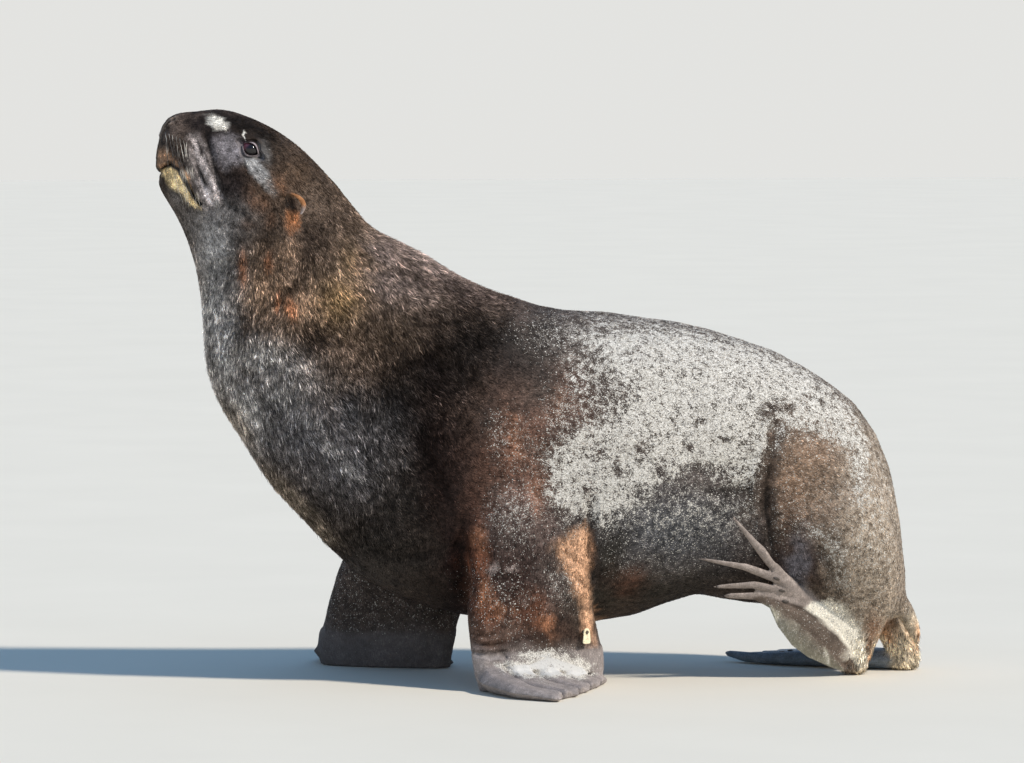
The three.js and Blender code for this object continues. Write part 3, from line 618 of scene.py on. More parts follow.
# Each wash: colour, strength, edge (2 is soft, 6 is crisp) and its spots. A spot is a column, a row, half
# a width, half a height and, if it is turned, an angle in degrees.
WASHES = [
    # Neck, nape and throat.
    (BROWN, 0.9, 2, [(318, 200, 50, 50, 45), (295, 290, 85, 75, 20)]),
    (GREY, 0.85, 2, [(218, 300, 24, 90, 4), (240, 400, 38, 56, -20), (215, 232, 20, 36),
     (278, 372, 40, 22, 20)]),
    (SILVER, 0.6, 2, [(213, 300, 9, 60), (258, 352, 26, 14, 10), (224, 256, 14, 26),
     (282, 396, 18, 12, 40), (224, 350, 12, 34), (212, 248, 12, 28), (250, 410, 14, 24, -30)]),
    (DARK, 0.7, 2, [(246, 322, 6, 22), (236, 236, 7, 26), (262, 240, 10, 12), (320, 335, 16, 20),
     (310, 240, 14, 26, 20), (230, 262, 3, 18)]),
    (TAN, 0.9, 2, [(264, 280, 17, 26), (300, 306, 15, 14), (284, 252, 10, 10)]),
    (AMBER, 0.75, 3, [(291, 306, 5, 11, -15), (243, 266, 4, 15), (278, 300, 3, 9), (268, 262, 4, 9)]),
    (OLIVE, 0.8, 2, [(354, 262, 13, 24, 10), (338, 298, 18, 20)]),
    (TAN, 0.6, 3, [(358, 258, 5, 14, 10)]),
    (linear(92, 78, 66), 0.7, 2, [(392, 324, 26, 22), (420, 300, 24, 14, 20)]),
    (MAUVE, 0.85, 2, [(428, 262, 50, 14, 28), (398, 284, 36, 16, 20), (380, 250, 26, 12, 26)]),
    (linear(80, 68, 63), 0.8, 2, [(480, 292, 44, 14, 16), (552, 318, 40, 9, 6)]),
    (COAL, 0.97, 3, [(492, 348, 74, 34, 10), (402, 412, 44, 42, -10), (440, 376, 58, 32),
     (545, 342, 26, 34, 10), (350, 408, 18, 22)]),
    # Chest.
    (SLATE, 0.85, 2, [(345, 458, 50, 42, 25), (300, 430, 40, 34, 30)]),
    (SILVER, 0.27, 3, [(330, 446, 18, 6, 30), (352, 470, 14, 5, 30), (312, 420, 14, 5, 20)]),
    # The low chest: its own dark fur, darkened further as painted shade.
    (DARK_FUR_AND_SHADE, 0.9, 2, [(370, 545, 90, 46, 20), (410, 500, 50, 46)]),
    (linear(146, 132, 116), 0.5, 3, [(234, 420, 10, 26, -35), (290, 494, 44, 9, 46),
     (320, 530, 16, 7, 36)]),
    # Shoulder, arm and behind it.
    (MAROON, 0.97, 3, [(450, 480, 32, 84, -8), (458, 556, 20, 60)]),
    (RUST, 0.85, 2, [(508, 452, 24, 44), (530, 492, 24, 34, 10), (580, 398, 18, 32, -10),
     (544, 428, 30, 20)]),
    (AMBER, 0.6, 3, [(534, 496, 7, 20), (514, 438, 6, 18), (540, 452, 5, 14), (556, 404, 6, 14, 10)]),
    (COAL, 0.6, 3, [(497, 470, 5, 26, 4), (484, 420, 8, 20), (546, 430, 4, 14), (522, 410, 5, 12)]),
    (linear(46, 26, 22), 0.95, 2, [(512, 590, 36, 50)]),
    (linear(122, 74, 50), 0.7, 2, [(479, 560, 9, 44), (486, 616, 10, 14), (536, 610, 16, 14)]),
    (linear(124, 98, 84), 0.8, 2, [(494, 640, 24, 9, -6)]),
    (AMBER, 0.5, 3, [(482, 540, 6, 12), (504, 610, 10, 7), (484, 590, 5, 16), (545, 625, 8, 8)]),
    (linear(110, 96, 92), 0.45, 2, [(518, 516, 26, 26), (556, 586, 12, 18, -20)]),
    (linear(40, 26, 22), 0.85, 2, [(564, 625, 8, 18), (500, 572, 20, 6, -20), (520, 640, 30, 5, -6)]),
    # Flank, belly, thigh and rump.
    (linear(82, 73, 68), 0.9, 2, [(700, 420, 160, 100)]),
    (linear(106, 98, 92), 0.7, 2, [(720, 332, 110, 18, 8), (590, 340, 30, 20)]),
    (linear(76, 79, 84), 0.85, 2, [(676, 530, 80, 38)]),
    # The belly's underside: its own dark fur, darkened further as painted shade.
    (linear(46, 43, 38), 0.95, 2, [(640, 592, 72, 18, -6), (600, 598, 30, 14), (612, 560, 12, 28)]),
    (RUST, 0.4, 2, [(628, 582, 14, 12)]),
    (linear(142, 118, 98), 0.9, 2, [(806, 474, 32, 50)]),
    (linear(98, 70, 50), 0.5, 2, [(790, 500, 12, 40, 10), (822, 452, 14, 16)]),
    (linear(182, 164, 144), 0.85, 2, [(874, 540, 32, 110)]),
    # Dark lines down the thigh's crease are painted shade.
    (COAL, 0.62, 3, [(766, 510, 6, 50, 4), (768, 528, 7, 24)]),
    (linear(70, 58, 50), 0.7, 2, [(757, 480, 9, 50, 8)]),
    (linear(98, 95, 100), 0.9, 3, [(799, 562, 12, 26)]),
    (linear(60, 44, 36), 0.7, 3, [(812, 566, 5, 22, -8), (784, 540, 6, 26, 10)]),
    (linear(246, 230, 202), 0.98, 3, [(900, 655, 34, 28), (846, 666, 18, 16), (922, 644, 14, 30)]),
    (linear(198, 138, 86), 0.75, 3, [(858, 656, 10, 8), (890, 636, 12, 6), (919, 638, 5, 16)]),
    (linear(116, 76, 50), 0.75, 3, [(872, 632, 8, 18, 10), (888, 626, 12, 7)]),
    (linear(30, 24, 22), 0.85, 3, [(880, 658, 6, 12)]),
    # Dark hair where the sand has come off in flakes.
    (linear(56, 49, 43), 0.5, 4, [(768, 411, 8, 7, 20), (785, 407, 6, 6), (775, 425, 4, 5),
     (828, 404, 8, 4, 20), (700, 421, 5, 4), (745, 444, 8, 5), (722, 440, 4, 3), (616, 470, 6, 10),
     (640, 455, 5, 8)]),
    # The head: its dark ground first, then its haze and hair.
    (linear(38, 32, 30), 0.95, 3, [(228, 160, 66, 56, 20)]),
    (linear(58, 48, 40), 0.8, 2, [(300, 168, 40, 26, 45), (272, 140, 24, 12, 35)]),
    (linear(92, 72, 56), 0.5, 2, [(292, 178, 16, 22, 40), (262, 190, 30, 12, 30)]),
    (linear(84, 73, 66), 0.85, 2, [(178, 122, 17, 12), (176, 138, 14, 14)]),
    (linear(34, 29, 29), 0.85, 2, [(234, 186, 15, 18), (212, 150, 3, 16, -12), (196, 124, 9, 5, 20)]),
    (linear(104, 102, 100), 0.6, 3, [(265, 152, 5, 12, -10), (248, 162, 8, 4, 20)]),
    (COAL, 0.75, 3, [(262, 134, 17, 6, 30), (240, 124, 20, 6, 22)]),
    (linear(122, 88, 66), 0.5, 3, [(252, 199, 4, 10), (247, 224, 6, 5), (270, 219, 5, 8), (263, 204, 5, 7),
     (280, 186, 5, 10, -30)]),
    (linear(132, 126, 122), 0.75, 2, [(196, 222, 14, 12), (176, 200, 5, 12, -24), (222, 218, 22, 12)]),
    # Painted highlights: two white slivers above the eye's front corner. The third spot is a small white
    # mark just behind the mouth's corner.
    (BONE, 1.0, 6, [(243.8, 133.5, 1.2, 3.2, 12), (245.2, 138, 0.9, 3, -28), (217.5, 202.5, 3, 2.8)]),
    (linear(190, 172, 164), 0.6, 6, [(505, 570, 13, 1.2, -18), (526, 567.5, 9, 1.2, 4), (519, 602, 2, 3),
     (549, 611, 3, 5, -20), (529, 634, 4, 2.5, 40)]),
]

# Each patch is crisper than a wash: colour, strength, the width of its edge, and its outline's corners.
# The first ones are the muzzle's pale hair, which hangs in streaks.
STREAKED = [
    (linear(178, 166, 161), 0.78, 6, [(190, 136), (197, 136), (203, 146), (210, 164), (217, 182),
     (221, 198), (216, 208), (204, 208), (198, 195), (192, 178), (189, 158)]),
    (linear(214, 202, 198), 0.65, 4, [(198, 172), (206, 168), (217, 184), (220, 200), (212, 206),
     (203, 198)]),
]
PATCHES = [
    # The haze before the eye and the streak that runs from the eye to the ear.
    (linear(150, 144, 147), 0.80, 8, [(216, 140), (228, 135), (241, 142), (242, 152), (236, 162),
     (224, 166), (216, 156)]),
    (linear(152, 150, 148), 0.90, 3, [(244, 158), (258, 158), (266, 170), (276, 195), (271, 193),
     (260, 182), (249, 171)]),
    # The patch on the snout.
    (linear(232, 226, 214), 1.0, 1.2, [(207, 117), (212, 114), (220, 117), (228, 127), (225, 131),
     (217, 128), (211, 125)]),
    # Upper and lower lip.
    (linear(178, 140, 110), 0.8, 3, [(157, 149), (167, 148), (177, 161), (187, 176), (192, 192),
     (185, 186), (177, 170), (168, 161), (158, 168)]),
    (linear(252, 225, 172), 0.97, 2.5, [(160, 172), (167, 165), (177, 170), (187, 185), (194, 197),
     (200, 208), (192, 206), (180, 193), (168, 184)]),
    (linear(140, 102, 66), 0.6, 2, [(188, 190), (196, 200), (200, 208), (190, 202)]),
    (linear(120, 100, 74), 0.5, 2, [(162, 172), (166, 168), (170, 176), (168, 184), (164, 180)]),
    # Below the ear: painted shade in its hollow, then an orange patch.
    (linear(40, 30, 26), 0.7, 2.5, [(292, 200), (297, 200), (299, 210), (295, 213), (292, 207)]),
    (linear(186, 124, 82), 0.78, 4, [(288, 211), (298, 213), (297, 226), (290, 234), (284, 224)]),
    # Where the sand has been licked off the hind edge of the arm.
    (ORANGE, 0.85, 4, [(558, 540), (572, 533), (587, 524), (594, 545), (589, 580), (592, 618), (597, 648),
     (588, 640), (581, 604), (570, 577), (558, 556)]),
]

# How thickly sand lies: how much of the hide it covers, the edge and the spots.
SAND = [
    (0.51, 3, [(640, 338, 92, 28, 2), (756, 348, 70, 26, 18), (586, 372, 24, 26), (858, 474, 11, 44, -8),
     (836, 556, 11, 36, -14), (808, 530, 14, 8, 20), (604, 392, 30, 38)]),
    (0.36, 2, [(690, 512, 110, 32), (518, 514, 24, 26), (566, 420, 18, 36), (561, 586, 12, 20, -20),
     (874, 510, 30, 100), (730, 330, 100, 14, 8), (500, 436, 10, 20)]),
    (0.17, 2, [(504, 596, 34, 36), (806, 466, 36, 46), (650, 560, 60, 14), (524, 452, 22, 34),
     (890, 655, 40, 20)]),
    (0.04, 2, [(330, 590, 60, 40), (380, 640, 60, 30)]),
    (0.22, 3, [(552, 670, 60, 22), (600, 668, 10, 14)]),
]
# Sand with an outline: how much, the width of its edge, and the corners.
DRIFTS = [
    (0.84, 15, [(583, 334), (640, 324), (701, 330), (765, 346), (812, 370), (845, 398), (866, 430),
     (872, 470), (862, 490), (850, 452), (830, 438), (792, 428), (770, 452), (750, 490), (717, 480),
     (690, 466), (650, 496), (612, 525), (572, 516), (549, 504), (545, 461), (565, 432), (610, 418),
     (624, 396), (600, 365)]),
    (1.06, 4, [(494, 664), (517, 656), (548, 648), (577, 654), (588, 667), (597, 676), (582, 680),
     (561, 677), (543, 680), (519, 677), (506, 672)]),
]
# The lifted hind foot: colour, strength, how much sand, the width of the edge, and the corners.
FOOT = [
    (linear(166, 164, 148), 0.9, 0.25, 3, [(762, 598), (776, 604), (800, 622), (826, 648), (846, 674),
     (820, 676), (786, 650), (768, 622)]),
    (linear(214, 210, 196), 0.8, 0.6, 1.5, [(764, 614), (772, 618), (790, 648), (824, 670), (846, 672),
     (846, 680), (816, 680), (780, 652)]),
    (CREAM, 0.98, 0.3, 1.5, [(802, 612), (812, 602), (836, 602), (852, 614), (866, 640), (868, 664),
     (858, 668), (842, 644), (822, 626)]),
    (linear(108, 94, 84), 0.95, 0.1, 1.5, [(744, 596), (764, 596), (800, 606), (824, 622), (844, 642),
     (858, 668), (850, 678), (826, 650), (800, 626), (770, 606)]),
    # A dark line in the crease above the rim: painted shade.
    (linear(40, 32, 28), 0.7, 0.0, 1.2, [(764, 597), (802, 606), (826, 622), (846, 644), (842, 643),
     (822, 625), (798, 609)]),
]
# Where it has been rubbed or shaken off: how much of it, and the spots.
RUBBED = [
    (0.95, [(768, 411, 8, 7, 20), (785, 408, 6, 6), (772, 436, 4, 8), (777, 423, 4, 4)]),
    (0.80, [(700, 421, 5, 4), (745, 444, 8, 5), (722, 440, 4, 3), (828, 404, 8, 4, 20),
     (652, 488, 22, 5, -10), (616, 470, 6, 11), (600, 448, 4, 7), (640, 455, 5, 9), (662, 470, 5, 7),
     (585, 488, 4, 8), (806, 398, 5, 3), (690, 444, 3, 4)]),
    (0.85, [(766, 505, 7, 54, 4), (799, 560, 11, 25), (590, 560, 12, 40, -8)]),
    (0.92, [(640, 596, 76, 16, -5), (600, 600, 30, 14)]),
    (0.30, [(815, 470, 22, 26)]),
]


def spot(column, row, spec, edge):
    """A soft-edged oval: 1 in the middle, about a half at its edge."""
    x, y, rx, ry, turn = (*spec, 0)[:5]
    c, s = math.cos(math.radians(turn)), math.sin(math.radians(turn))
    dx, dy = column - x, row - y
    u, v = (c * dx + s * dy) / rx, (c * dy - s * dx) / ry
    return np.exp(-0.7 * (u * u + v * v) ** (edge / 2))


def inside(column, row, corners, edge):
    """1 inside a drawn outline and 0 outside it, turning over `edge` units on either side."""
    corners = np.array(corners, float)
    ring = np.vstack([corners, corners[:1]])
    share = np.zeros(len(column))
    places = np.column_stack([column, row])
    near = ((places > corners.min(0) - edge) & (places < corners.max(0) + edge)).all(1)
    x, y = places[near].T
    within = np.zeros(near.sum(), bool)
    for (x0, y0), (x1, y1) in zip(ring[:-1], ring[1:]):
        crosses = (y0 > y) != (y1 > y)
        within ^= crosses & (x < x0 + (y - y0) * (x1 - x0) / ((y1 - y0) or 1))
    away = distance_to_line(places[near], ring)[0]
    share[near] = smoothstep(-edge, edge, np.where(within, away, -away))
    return share


def markings(mm, bare, toes, ears):
    """The colour painted on the coat or skin at each point, painted shade included, and how much sand lies
    on it.
    """
    true_column, true_row = drawing(mm)
    big = smoothstep(300, 420, true_column)  # the face's small patches keep their places
    wander = 1.0 * (0.4 + 4.6 * big)
    column = true_column + wander * waves(mm, 36, 21) + 0.9 * waves(mm, 9, 23)
    row = true_row + wander * waves(mm, 36, 22) + 0.9 * waves(mm, 9, 24)
    colour = np.tile(UMBER, (len(mm), 1))
    for paint, strength, edge, spots in WASHES:
        amount = strength * np.max([spot(column, row, spec, edge) for spec in spots], axis=0)
        colour += (paint - colour) * np.clip(amount, 0, 1)[:, None]
    # The muzzle's hair hangs in streaks, so its pale patches are broken up along the lie.
    muzzle = smoothstep(232, 214, true_column) * smoothstep(212, 196, true_row)
    combed = np.column_stack([0.9 * mm[:, 0] + 0.42 * mm[:, 2], 0.3 * mm[:, 1], 0.12 * mm[:, 2]])
    streaks = waves(combed, 9, 61)
    for paint, strength, edge, corners in STREAKED:
        amount = strength * inside(column, row, corners, edge) * (1 + 0.7 * streaks)
        colour += (paint - colour) * np.clip(amount, 0, 1)[:, None]
    colour *= (1 + 0.35 * muzzle * streaks)[:, None]
    column = true_column + 1.6 * waves(mm, 40, 25) + 0.9 * waves(mm, 9, 23)
    row = true_row + 1.6 * waves(mm, 40, 26) + 0.9 * waves(mm, 9, 24)
    # The lips' patches lie on the sides of the mouth and fade towards its middle.
    sides = np.where(true_column < 206, 0.25 + 0.75 * smoothstep(22, 54, np.abs(mm[:, 1])), 1)
    for paint, strength, edge, corners in PATCHES:
        colour += (paint - colour) * (strength * sides * inside(column, row, corners, edge))[:, None]
    sand = np.zeros(len(mm))
    for amount, edge, corners in DRIFTS:
        sand = np.maximum(sand, amount * inside(column, row, corners, edge))
    for amount, edge, spots in SAND:
        sand = np.maximum(sand, amount * np.max([spot(column, row, spec, edge) for spec in spots], axis=0))
    for amount, spots in RUBBED:
        sand *= 1 - amount * np.max([spot(column, row, spec, 4) for spec in spots], axis=0)

    def lay(paint, amount):
        nonlocal colour
        colour += (np.asarray(paint) - colour) * np.clip(amount, 0, 1)[:, None]

    # The mouth's line, the lids and the ears are laid where their forms are.
    d, t = distance_to_line(mm[:, [0, 2]], MOUTH)
    # The mouth's groove is painted near black: painted shade between the lips.
    lay(INK, 0.95 * bell(d / 3.4) * (mm[:, 0] < -785) * (t < 0.99) * (0.4 + 4 * t))
    u, v, w, ring = eye_map(mm)
    near_eye = (np.abs(u) < 60) & (np.abs(v) < 60) & (w > 0)
    lay(linear(24, 20, 20), 0.9 * near_eye * (ring < 1.04))
    lay(linear(26, 23, 24), 0.9 * near_eye * bell((ring - 1.62) / 0.16) * smoothstep(1, 8, v))
    # The pale line along the lower lid's rim is a painted reflection.
    lay(linear(186, 172, 172), 0.95 * near_eye * bell((ring - 1.2) / 0.13) * smoothstep(7, 0, v))
    lay(linear(176, 162, 166), 0.85 * near_eye * bell((ring - 1.24) / 0.11) * smoothstep(1, 7, v)
        * smoothstep(-14, -4, u))
    lay(linear(128, 124, 124), 0.75 * near_eye * bell((ring - 1.9) / 0.2) * smoothstep(-4, 12, u))
    lay(linear(120, 78, 86), 0.9 * near_eye * np.exp(-(((u + 20) / 5) ** 2) - ((v - 2) / 4) ** 2))
    ear_top = smoothstep(1125, 1150, mm[:, 2]) * smoothstep(-612, -598, mm[:, 0])
    lay(linear(168, 116, 76), 0.9 * ears * ear_top)
    lay(linear(188, 172, 166), 0.9 * ears * smoothstep(1145, 1120, mm[:, 2]))
    # The far foreleg is painted a plain dark grey-brown with little sand. The far hind foot, which lies
    # flat, is painted bluish grey as painted shade, and the lifted one is grey.
    far_arm = (mm[:, 1] > 60) * smoothstep(330, 200, mm[:, 2]) * smoothstep(0, -150, mm[:, 0])
    lay(linear(74, 64, 59), 0.85 * far_arm)
    sand = sand * (1 - 0.9 * far_arm) + 0.10 * far_arm
    # Hollows are darkened as painted shade, and hold less sand.
    for name, side, depth, width, line in FOLDS:
        d, t = distance_to_line(mm[:, [0, 2]], np.array(line, float))
        fold_shade = bell(d / (0.55 * width)) * np.sqrt(np.clip(4 * t * (1 - t), 0, 1))
        fold_shade *= (mm[:, 1] * side > 40) if side else 1
        colour *= (1 - 0.45 * fold_shade)[:, None]
        sand = sand * (1 - 0.5 * fold_shade)
    # Painted shade on the far hind foot: bluish grey, with little sand.
    shaded_far_foot = np.clip(toes * (mm[:, 1] > 0), 0, 1)
    lay(linear(112, 124, 136), 0.95 * shaded_far_foot)
    sand *= 1 - 0.9 * shaded_far_foot
    foot = np.clip(toes * (mm[:, 1] < 0) * 1.3, 0, 1)
    sand *= 1 - foot
    lay(linear(150, 138, 130), 0.95 * foot)
    heel_side = (mm[:, 1] < -40) * smoothstep(794, 804, true_column)
    for paint, strength, grains, edge, corners in FOOT:
        share = np.maximum(foot, heel_side) * inside(true_column, true_row, corners, edge)
        lay(paint, strength * share)
        sand += (grains - sand) * share
    paw = np.clip((bare - toes) * smoothstep(118, 82, mm[:, 2] + 14 * waves(mm, 70, 27)), 0, 1)
    paw *= mm[:, 0] < 300
    lay(linear(148, 139, 135), 0.95 * paw * (mm[:, 1] < 0))
    # The far fore flipper's darker grey is painted shade.
    lay(linear(98, 92, 90), 0.95 * paw * (mm[:, 1] > 0))
    sand *= 1 - 0.8 * paw * (1 - inside(column, row, DRIFTS[1][2], 3))
    # The grooves between the digits are painted dark as painted shade, and hold less sand.
    for side, lines in GROOVES.items():
        zone = (mm[:, 1] * side > 130) & (mm[:, 2] < 110) & (mm[:, 0] < 300)
        for line in lines:
            d, t = distance_to_line(mm[:, :2], np.array(line, float))
            groove = paw * zone * bell(d / 6) * smoothstep(0, 0.5, t)
            lay(linear(56, 50, 48), 0.85 * groove)
            sand = sand * (1 - 0.55 * groove)
    nose = np.exp(-((away(mm, [-912, 0, 1326]) / 38) ** 4))
    lay(linear(66, 58, 54), 0.7 * nose)
    slit = from_nostril(mm)
    lay(INK, 0.95 * bell(slit / 4.5))
    lay(linear(140, 124, 110), 0.6 * bell((slit - 9) / 2.5))
    sand = np.where(mm[:, 0] < -560, 0, sand)
    return np.clip(colour, 0.004, 1), np.clip(sand, 0, 1.1)


def paint(obj, mm, bare, toes, ears):
    colour, sand = markings(mm, bare, toes, ears)
    set_attribute(obj.data, "pelt", "FLOAT_COLOR", np.column_stack([colour, np.ones(len(colour))]))
    set_attribute(obj.data, "sand", "FLOAT", sand)


points = points_of(skin)
bare = get_attribute(skin.data, "bare")
toes = get_attribute(skin.data, "toes")
ears = get_attribute(skin.data, "ears")
paint(skin, points, bare, toes, ears)
run, way = along_body(points)
mane = mane_of(points, run)
ring_way = np.arctan2(points[:, 1], points[:, 2] - np.interp(run, AXIS_RUN, AXIS[:, 1]))
set_attribute(skin.data, "combed", "FLOAT_VECTOR", np.column_stack([run / 1000, ring_way * 0.25, 0 * run]))


def limb_share(mm):
    """1 on the limbs, where the hair runs down, and 0 on the body."""
    arm = smoothstep(430, 320, mm[:, 2]) * (np.abs(mm[:, 1]) > 110) * (mm[:, 0] < 190)
    leg = smoothstep(400, 260, mm[:, 2]) * (mm[:, 0] > 520)
    return np.clip(arm + leg, 0, 1)


set_attribute(skin.data, "limb", "FLOAT", limb_share(points))
set_attribute(skin.data, "tone", "FLOAT", 0.9 - 0.35 * mane)
print("painted")

# %% [markdown]
# ## Materials
#
# One node group breaks up the painted colour and scatters the sand, and both the skin and the tufts use
# it. It reads the stored attributes, and noise on Object coordinates, which are metres here.

# %% The pelt group


def group_with(name, inputs, outputs):
    group = bpy.data.node_groups.new(name, "ShaderNodeTree")
    for label, kind, value in inputs:
        socket = group.interface.new_socket(name=label, in_out="INPUT", socket_type=kind)
        if value is not None:
            socket.default_value = value
    for label, kind in outputs:
        group.interface.new_socket(name=label, in_out="OUTPUT", socket_type=kind)
    return group, group.nodes.new("NodeGroupInput"), group.nodes.new("NodeGroupOutput")


def node(tree, kind, **settings):
    made = tree.nodes.new(kind)
    for name, value in settings.items():
        setattr(made, name, value)
    return made


def object_place(tree):
    return node(tree, "ShaderNodeTexCoord").outputs["Object"]


def noise(tree, vector, scale, detail=2.0, roughness=0.55):
    made = node(tree, "ShaderNodeTexNoise")
    made.inputs["Scale"].default_value = scale
    made.inputs["Detail"].default_value = detail
    made.inputs["Roughness"].default_value = roughness
    tree.links.new(vector, made.inputs["Vector"])
    return made.outputs["Fac"]


def maths(tree, operation, a, b=None, c=None, clamp=False):
    made = node(tree, "ShaderNodeMath", operation=operation, use_clamp=clamp)
    for slot, value in zip(made.inputs, (a, b, c)):
        if value is None:
            continue
        if isinstance(value, (int, float)):
            slot.default_value = value
        else:
            tree.links.new(value, slot)
    return made.outputs[0]


def span(tree, value, low, high, to_low=0.0, to_high=1.0):
    made = node(tree, "ShaderNodeMapRange")
    made.interpolation_type = "SMOOTHSTEP"
    for label, number in zip(("From Min", "From Max", "To Min", "To Max"), (low, high, to_low, to_high)):
        made.inputs[label].default_value = number
    tree.links.new(value, made.inputs["Value"])
    return made.outputs["Result"]


def mix(tree, factor, a, b, blend="MIX"):
    made = node(tree, "ShaderNodeMix", data_type="RGBA", blend_type=blend)
    for slot, value in ((made.inputs["Factor"], factor), (made.inputs[6], a), (made.inputs[7], b)):
        if isinstance(value, (int, float)):
            slot.default_value = value
        elif isinstance(value, (tuple, list, np.ndarray)):
            slot.default_value = (*value[:3], 1)
        else:
            tree.links.new(value, slot)
    return made.outputs[2]


def attribute(tree, name):
    return node(tree, "ShaderNodeAttribute", attribute_name=name)


pelt_group, source, sink = group_with(
    "pelt_and_sand",
    [
        ("Pelt", "NodeSocketColor", None),
        ("Sand", "NodeSocketFloat", 0.0),
        ("Tone", "NodeSocketFloat", 1.0),
        ("Mottle", "NodeSocketFloat", 1.0),
    ],
    [("Color", "NodeSocketColor"), ("Roughness", "NodeSocketFloat"), ("Sand", "NodeSocketFloat")],
)
place = object_place(pelt_group)
clump = noise(pelt_group, place, 64, 3, 0.7)
patch = noise(pelt_group, place, 11, 2, 0.5)
fleck = noise(pelt_group, place, 380, 2, 0.6)
drift = span(pelt_group, clump, 0.32, 0.68, -0.32, 0.32)
cover = maths(
    pelt_group, "MULTIPLY_ADD", drift, span(pelt_group, source.outputs["Sand"], 0.02, 0.4),
    source.outputs["Sand"],
)


def grains(scale, share):
    """Each cell of the pattern is a grain or none. Gives where the grains are, and each one's shade."""
    cells = node(pelt_group, "ShaderNodeTexVoronoi", feature="F1")
    cells.inputs["Scale"].default_value = scale
    pelt_group.links.new(place, cells.inputs["Vector"])
    luck = node(pelt_group, "ShaderNodeSeparateColor")
    pelt_group.links.new(cells.outputs["Color"], luck.inputs["Color"])
    wanted = maths(pelt_group, "MULTIPLY", cover, span(pelt_group, cover, 0.2, 0.8, *share))
    chosen = span(pelt_group, maths(pelt_group, "SUBTRACT", wanted, luck.outputs["Green"]), 0.0, 0.03)
    reach = span(pelt_group, wanted, 0.2, 1.0, 0.5, 0.95)
    near = span(pelt_group, maths(pelt_group, "SUBTRACT", reach, cells.outputs["Distance"]), -0.06, 0.06)
    return maths(pelt_group, "MULTIPLY", chosen, near), luck.outputs["Red"]


coarse_grains, _ = grains(290, (0.3, 0.8))
fine_grains, fine_luck = grains(540, (0.8, 0.95))
sandy = maths(pelt_group, "MAXIMUM", coarse_grains, fine_grains)
shade = maths(pelt_group, "MULTIPLY", source.outputs["Tone"], span(pelt_group, clump, 0.32, 0.68, 0.6, 1.45))
shade = maths(pelt_group, "MULTIPLY", shade, span(pelt_group, fleck, 0.3, 0.7, 0.6, 1.4))
shade = maths(pelt_group, "MULTIPLY", shade, span(pelt_group, patch, 0.3, 0.7, 0.8, 1.2))
off_even = maths(pelt_group, "SUBTRACT", shade, 1.0)
even = maths(pelt_group, "MULTIPLY_ADD", source.outputs["Mottle"], off_even, 1.0)
fur_colour = mix(pelt_group, 1.0, source.outputs["Pelt"], even, "MULTIPLY")
sand_colour = mix(pelt_group, fine_luck, linear(150, 145, 136), linear(234, 229, 220))
caked = span(pelt_group, source.outputs["Sand"], 0.94, 1.08)
sand_colour = mix(pelt_group, caked, sand_colour, linear(204, 202, 198))
dust = maths(pelt_group, "MULTIPLY", cover, 0.36, clamp=True)
dusty = mix(pelt_group, dust, fur_colour, linear(140, 134, 126))
coloured = mix(pelt_group, sandy, dusty, sand_colour)
pelt_group.links.new(coloured, sink.inputs["Color"])
pelt_group.links.new(span(pelt_group, sandy, 0, 1, 0.58, 0.95), sink.inputs["Roughness"])
pelt_group.links.new(sandy, sink.inputs["Sand"])

# %% [markdown]
# The skin shows between the tufts, and on the short fur it is nearly all one sees. Its bump is a noise
# drawn out along the lie of the hair, so that it reads as combed fur, with grains of sand on top.

# %% Skin material


def new_material(name):
    made = bpy.data.materials.new(name)
    made.use_nodes = True
    tree = made.node_tree
    return made, tree, tree.nodes["Principled BSDF"]


def colour_by(tree, shader, pattern, dark, light):
    """The surface's colour runs from dark to light with the pattern."""
    tree.links.new(mix(tree, pattern, dark, light), shader.inputs["Base Color"])


def bump_by(tree, shader, height, distance, strength=1.0):
    bump = node(tree, "ShaderNodeBump")
    bump.inputs["Strength"].default_value = strength
    bump.inputs["Distance"].default_value = distance
    tree.links.new(height, bump.inputs["Height"])
    tree.links.new(bump.outputs["Normal"], shader.inputs["Normal"])


def pelt_nodes(tree, shader, tone):
    group = node(tree, "ShaderNodeGroup", node_tree=pelt_group)
    tree.links.new(attribute(tree, "pelt").outputs["Color"], group.inputs["Pelt"])
    tree.links.new(attribute(tree, "sand").outputs["Fac"], group.inputs["Sand"])
    tree.links.new(tone, group.inputs["Tone"])
    tree.links.new(group.outputs["Color"], shader.inputs["Base Color"])
    tree.links.new(group.outputs["Roughness"], shader.inputs["Roughness"])
    return group


hide, tree, shader = new_material("hide")
combed = node(tree, "ShaderNodeMapping")
combed.inputs["Scale"].default_value = (70, 620, 1)
tree.links.new(attribute(tree, "combed").outputs["Vector"], combed.inputs["Vector"])
back_strands = noise(tree, combed.outputs["Vector"], 1.0, 3, 0.6)
place = object_place(tree)
hanging = node(tree, "ShaderNodeMapping")
hanging.inputs["Scale"].default_value = (560, 560, 75)
tree.links.new(place, hanging.inputs["Vector"])
down_strands = noise(tree, hanging.outputs["Vector"], 1.0, 3, 0.6)
strands_mix = node(tree, "ShaderNodeMix", data_type="FLOAT")
tree.links.new(attribute(tree, "limb").outputs["Fac"], strands_mix.inputs["Factor"])
tree.links.new(back_strands, strands_mix.inputs[2])
tree.links.new(down_strands, strands_mix.inputs[3])
strands = strands_mix.outputs[0]
creases = node(tree, "ShaderNodeTexVoronoi", feature="DISTANCE_TO_EDGE")
creases.inputs["Scale"].default_value = 150
tree.links.new(place, creases.inputs["Vector"])
bare_amount = attribute(tree, "bare").outputs["Fac"]
skin_tone = attribute(tree, "tone").outputs["Fac"]
tone = maths(tree, "MULTIPLY", skin_tone, span(tree, strands, 0.3, 0.7, 0.55, 1.55))
group = pelt_nodes(tree, shader, tone)
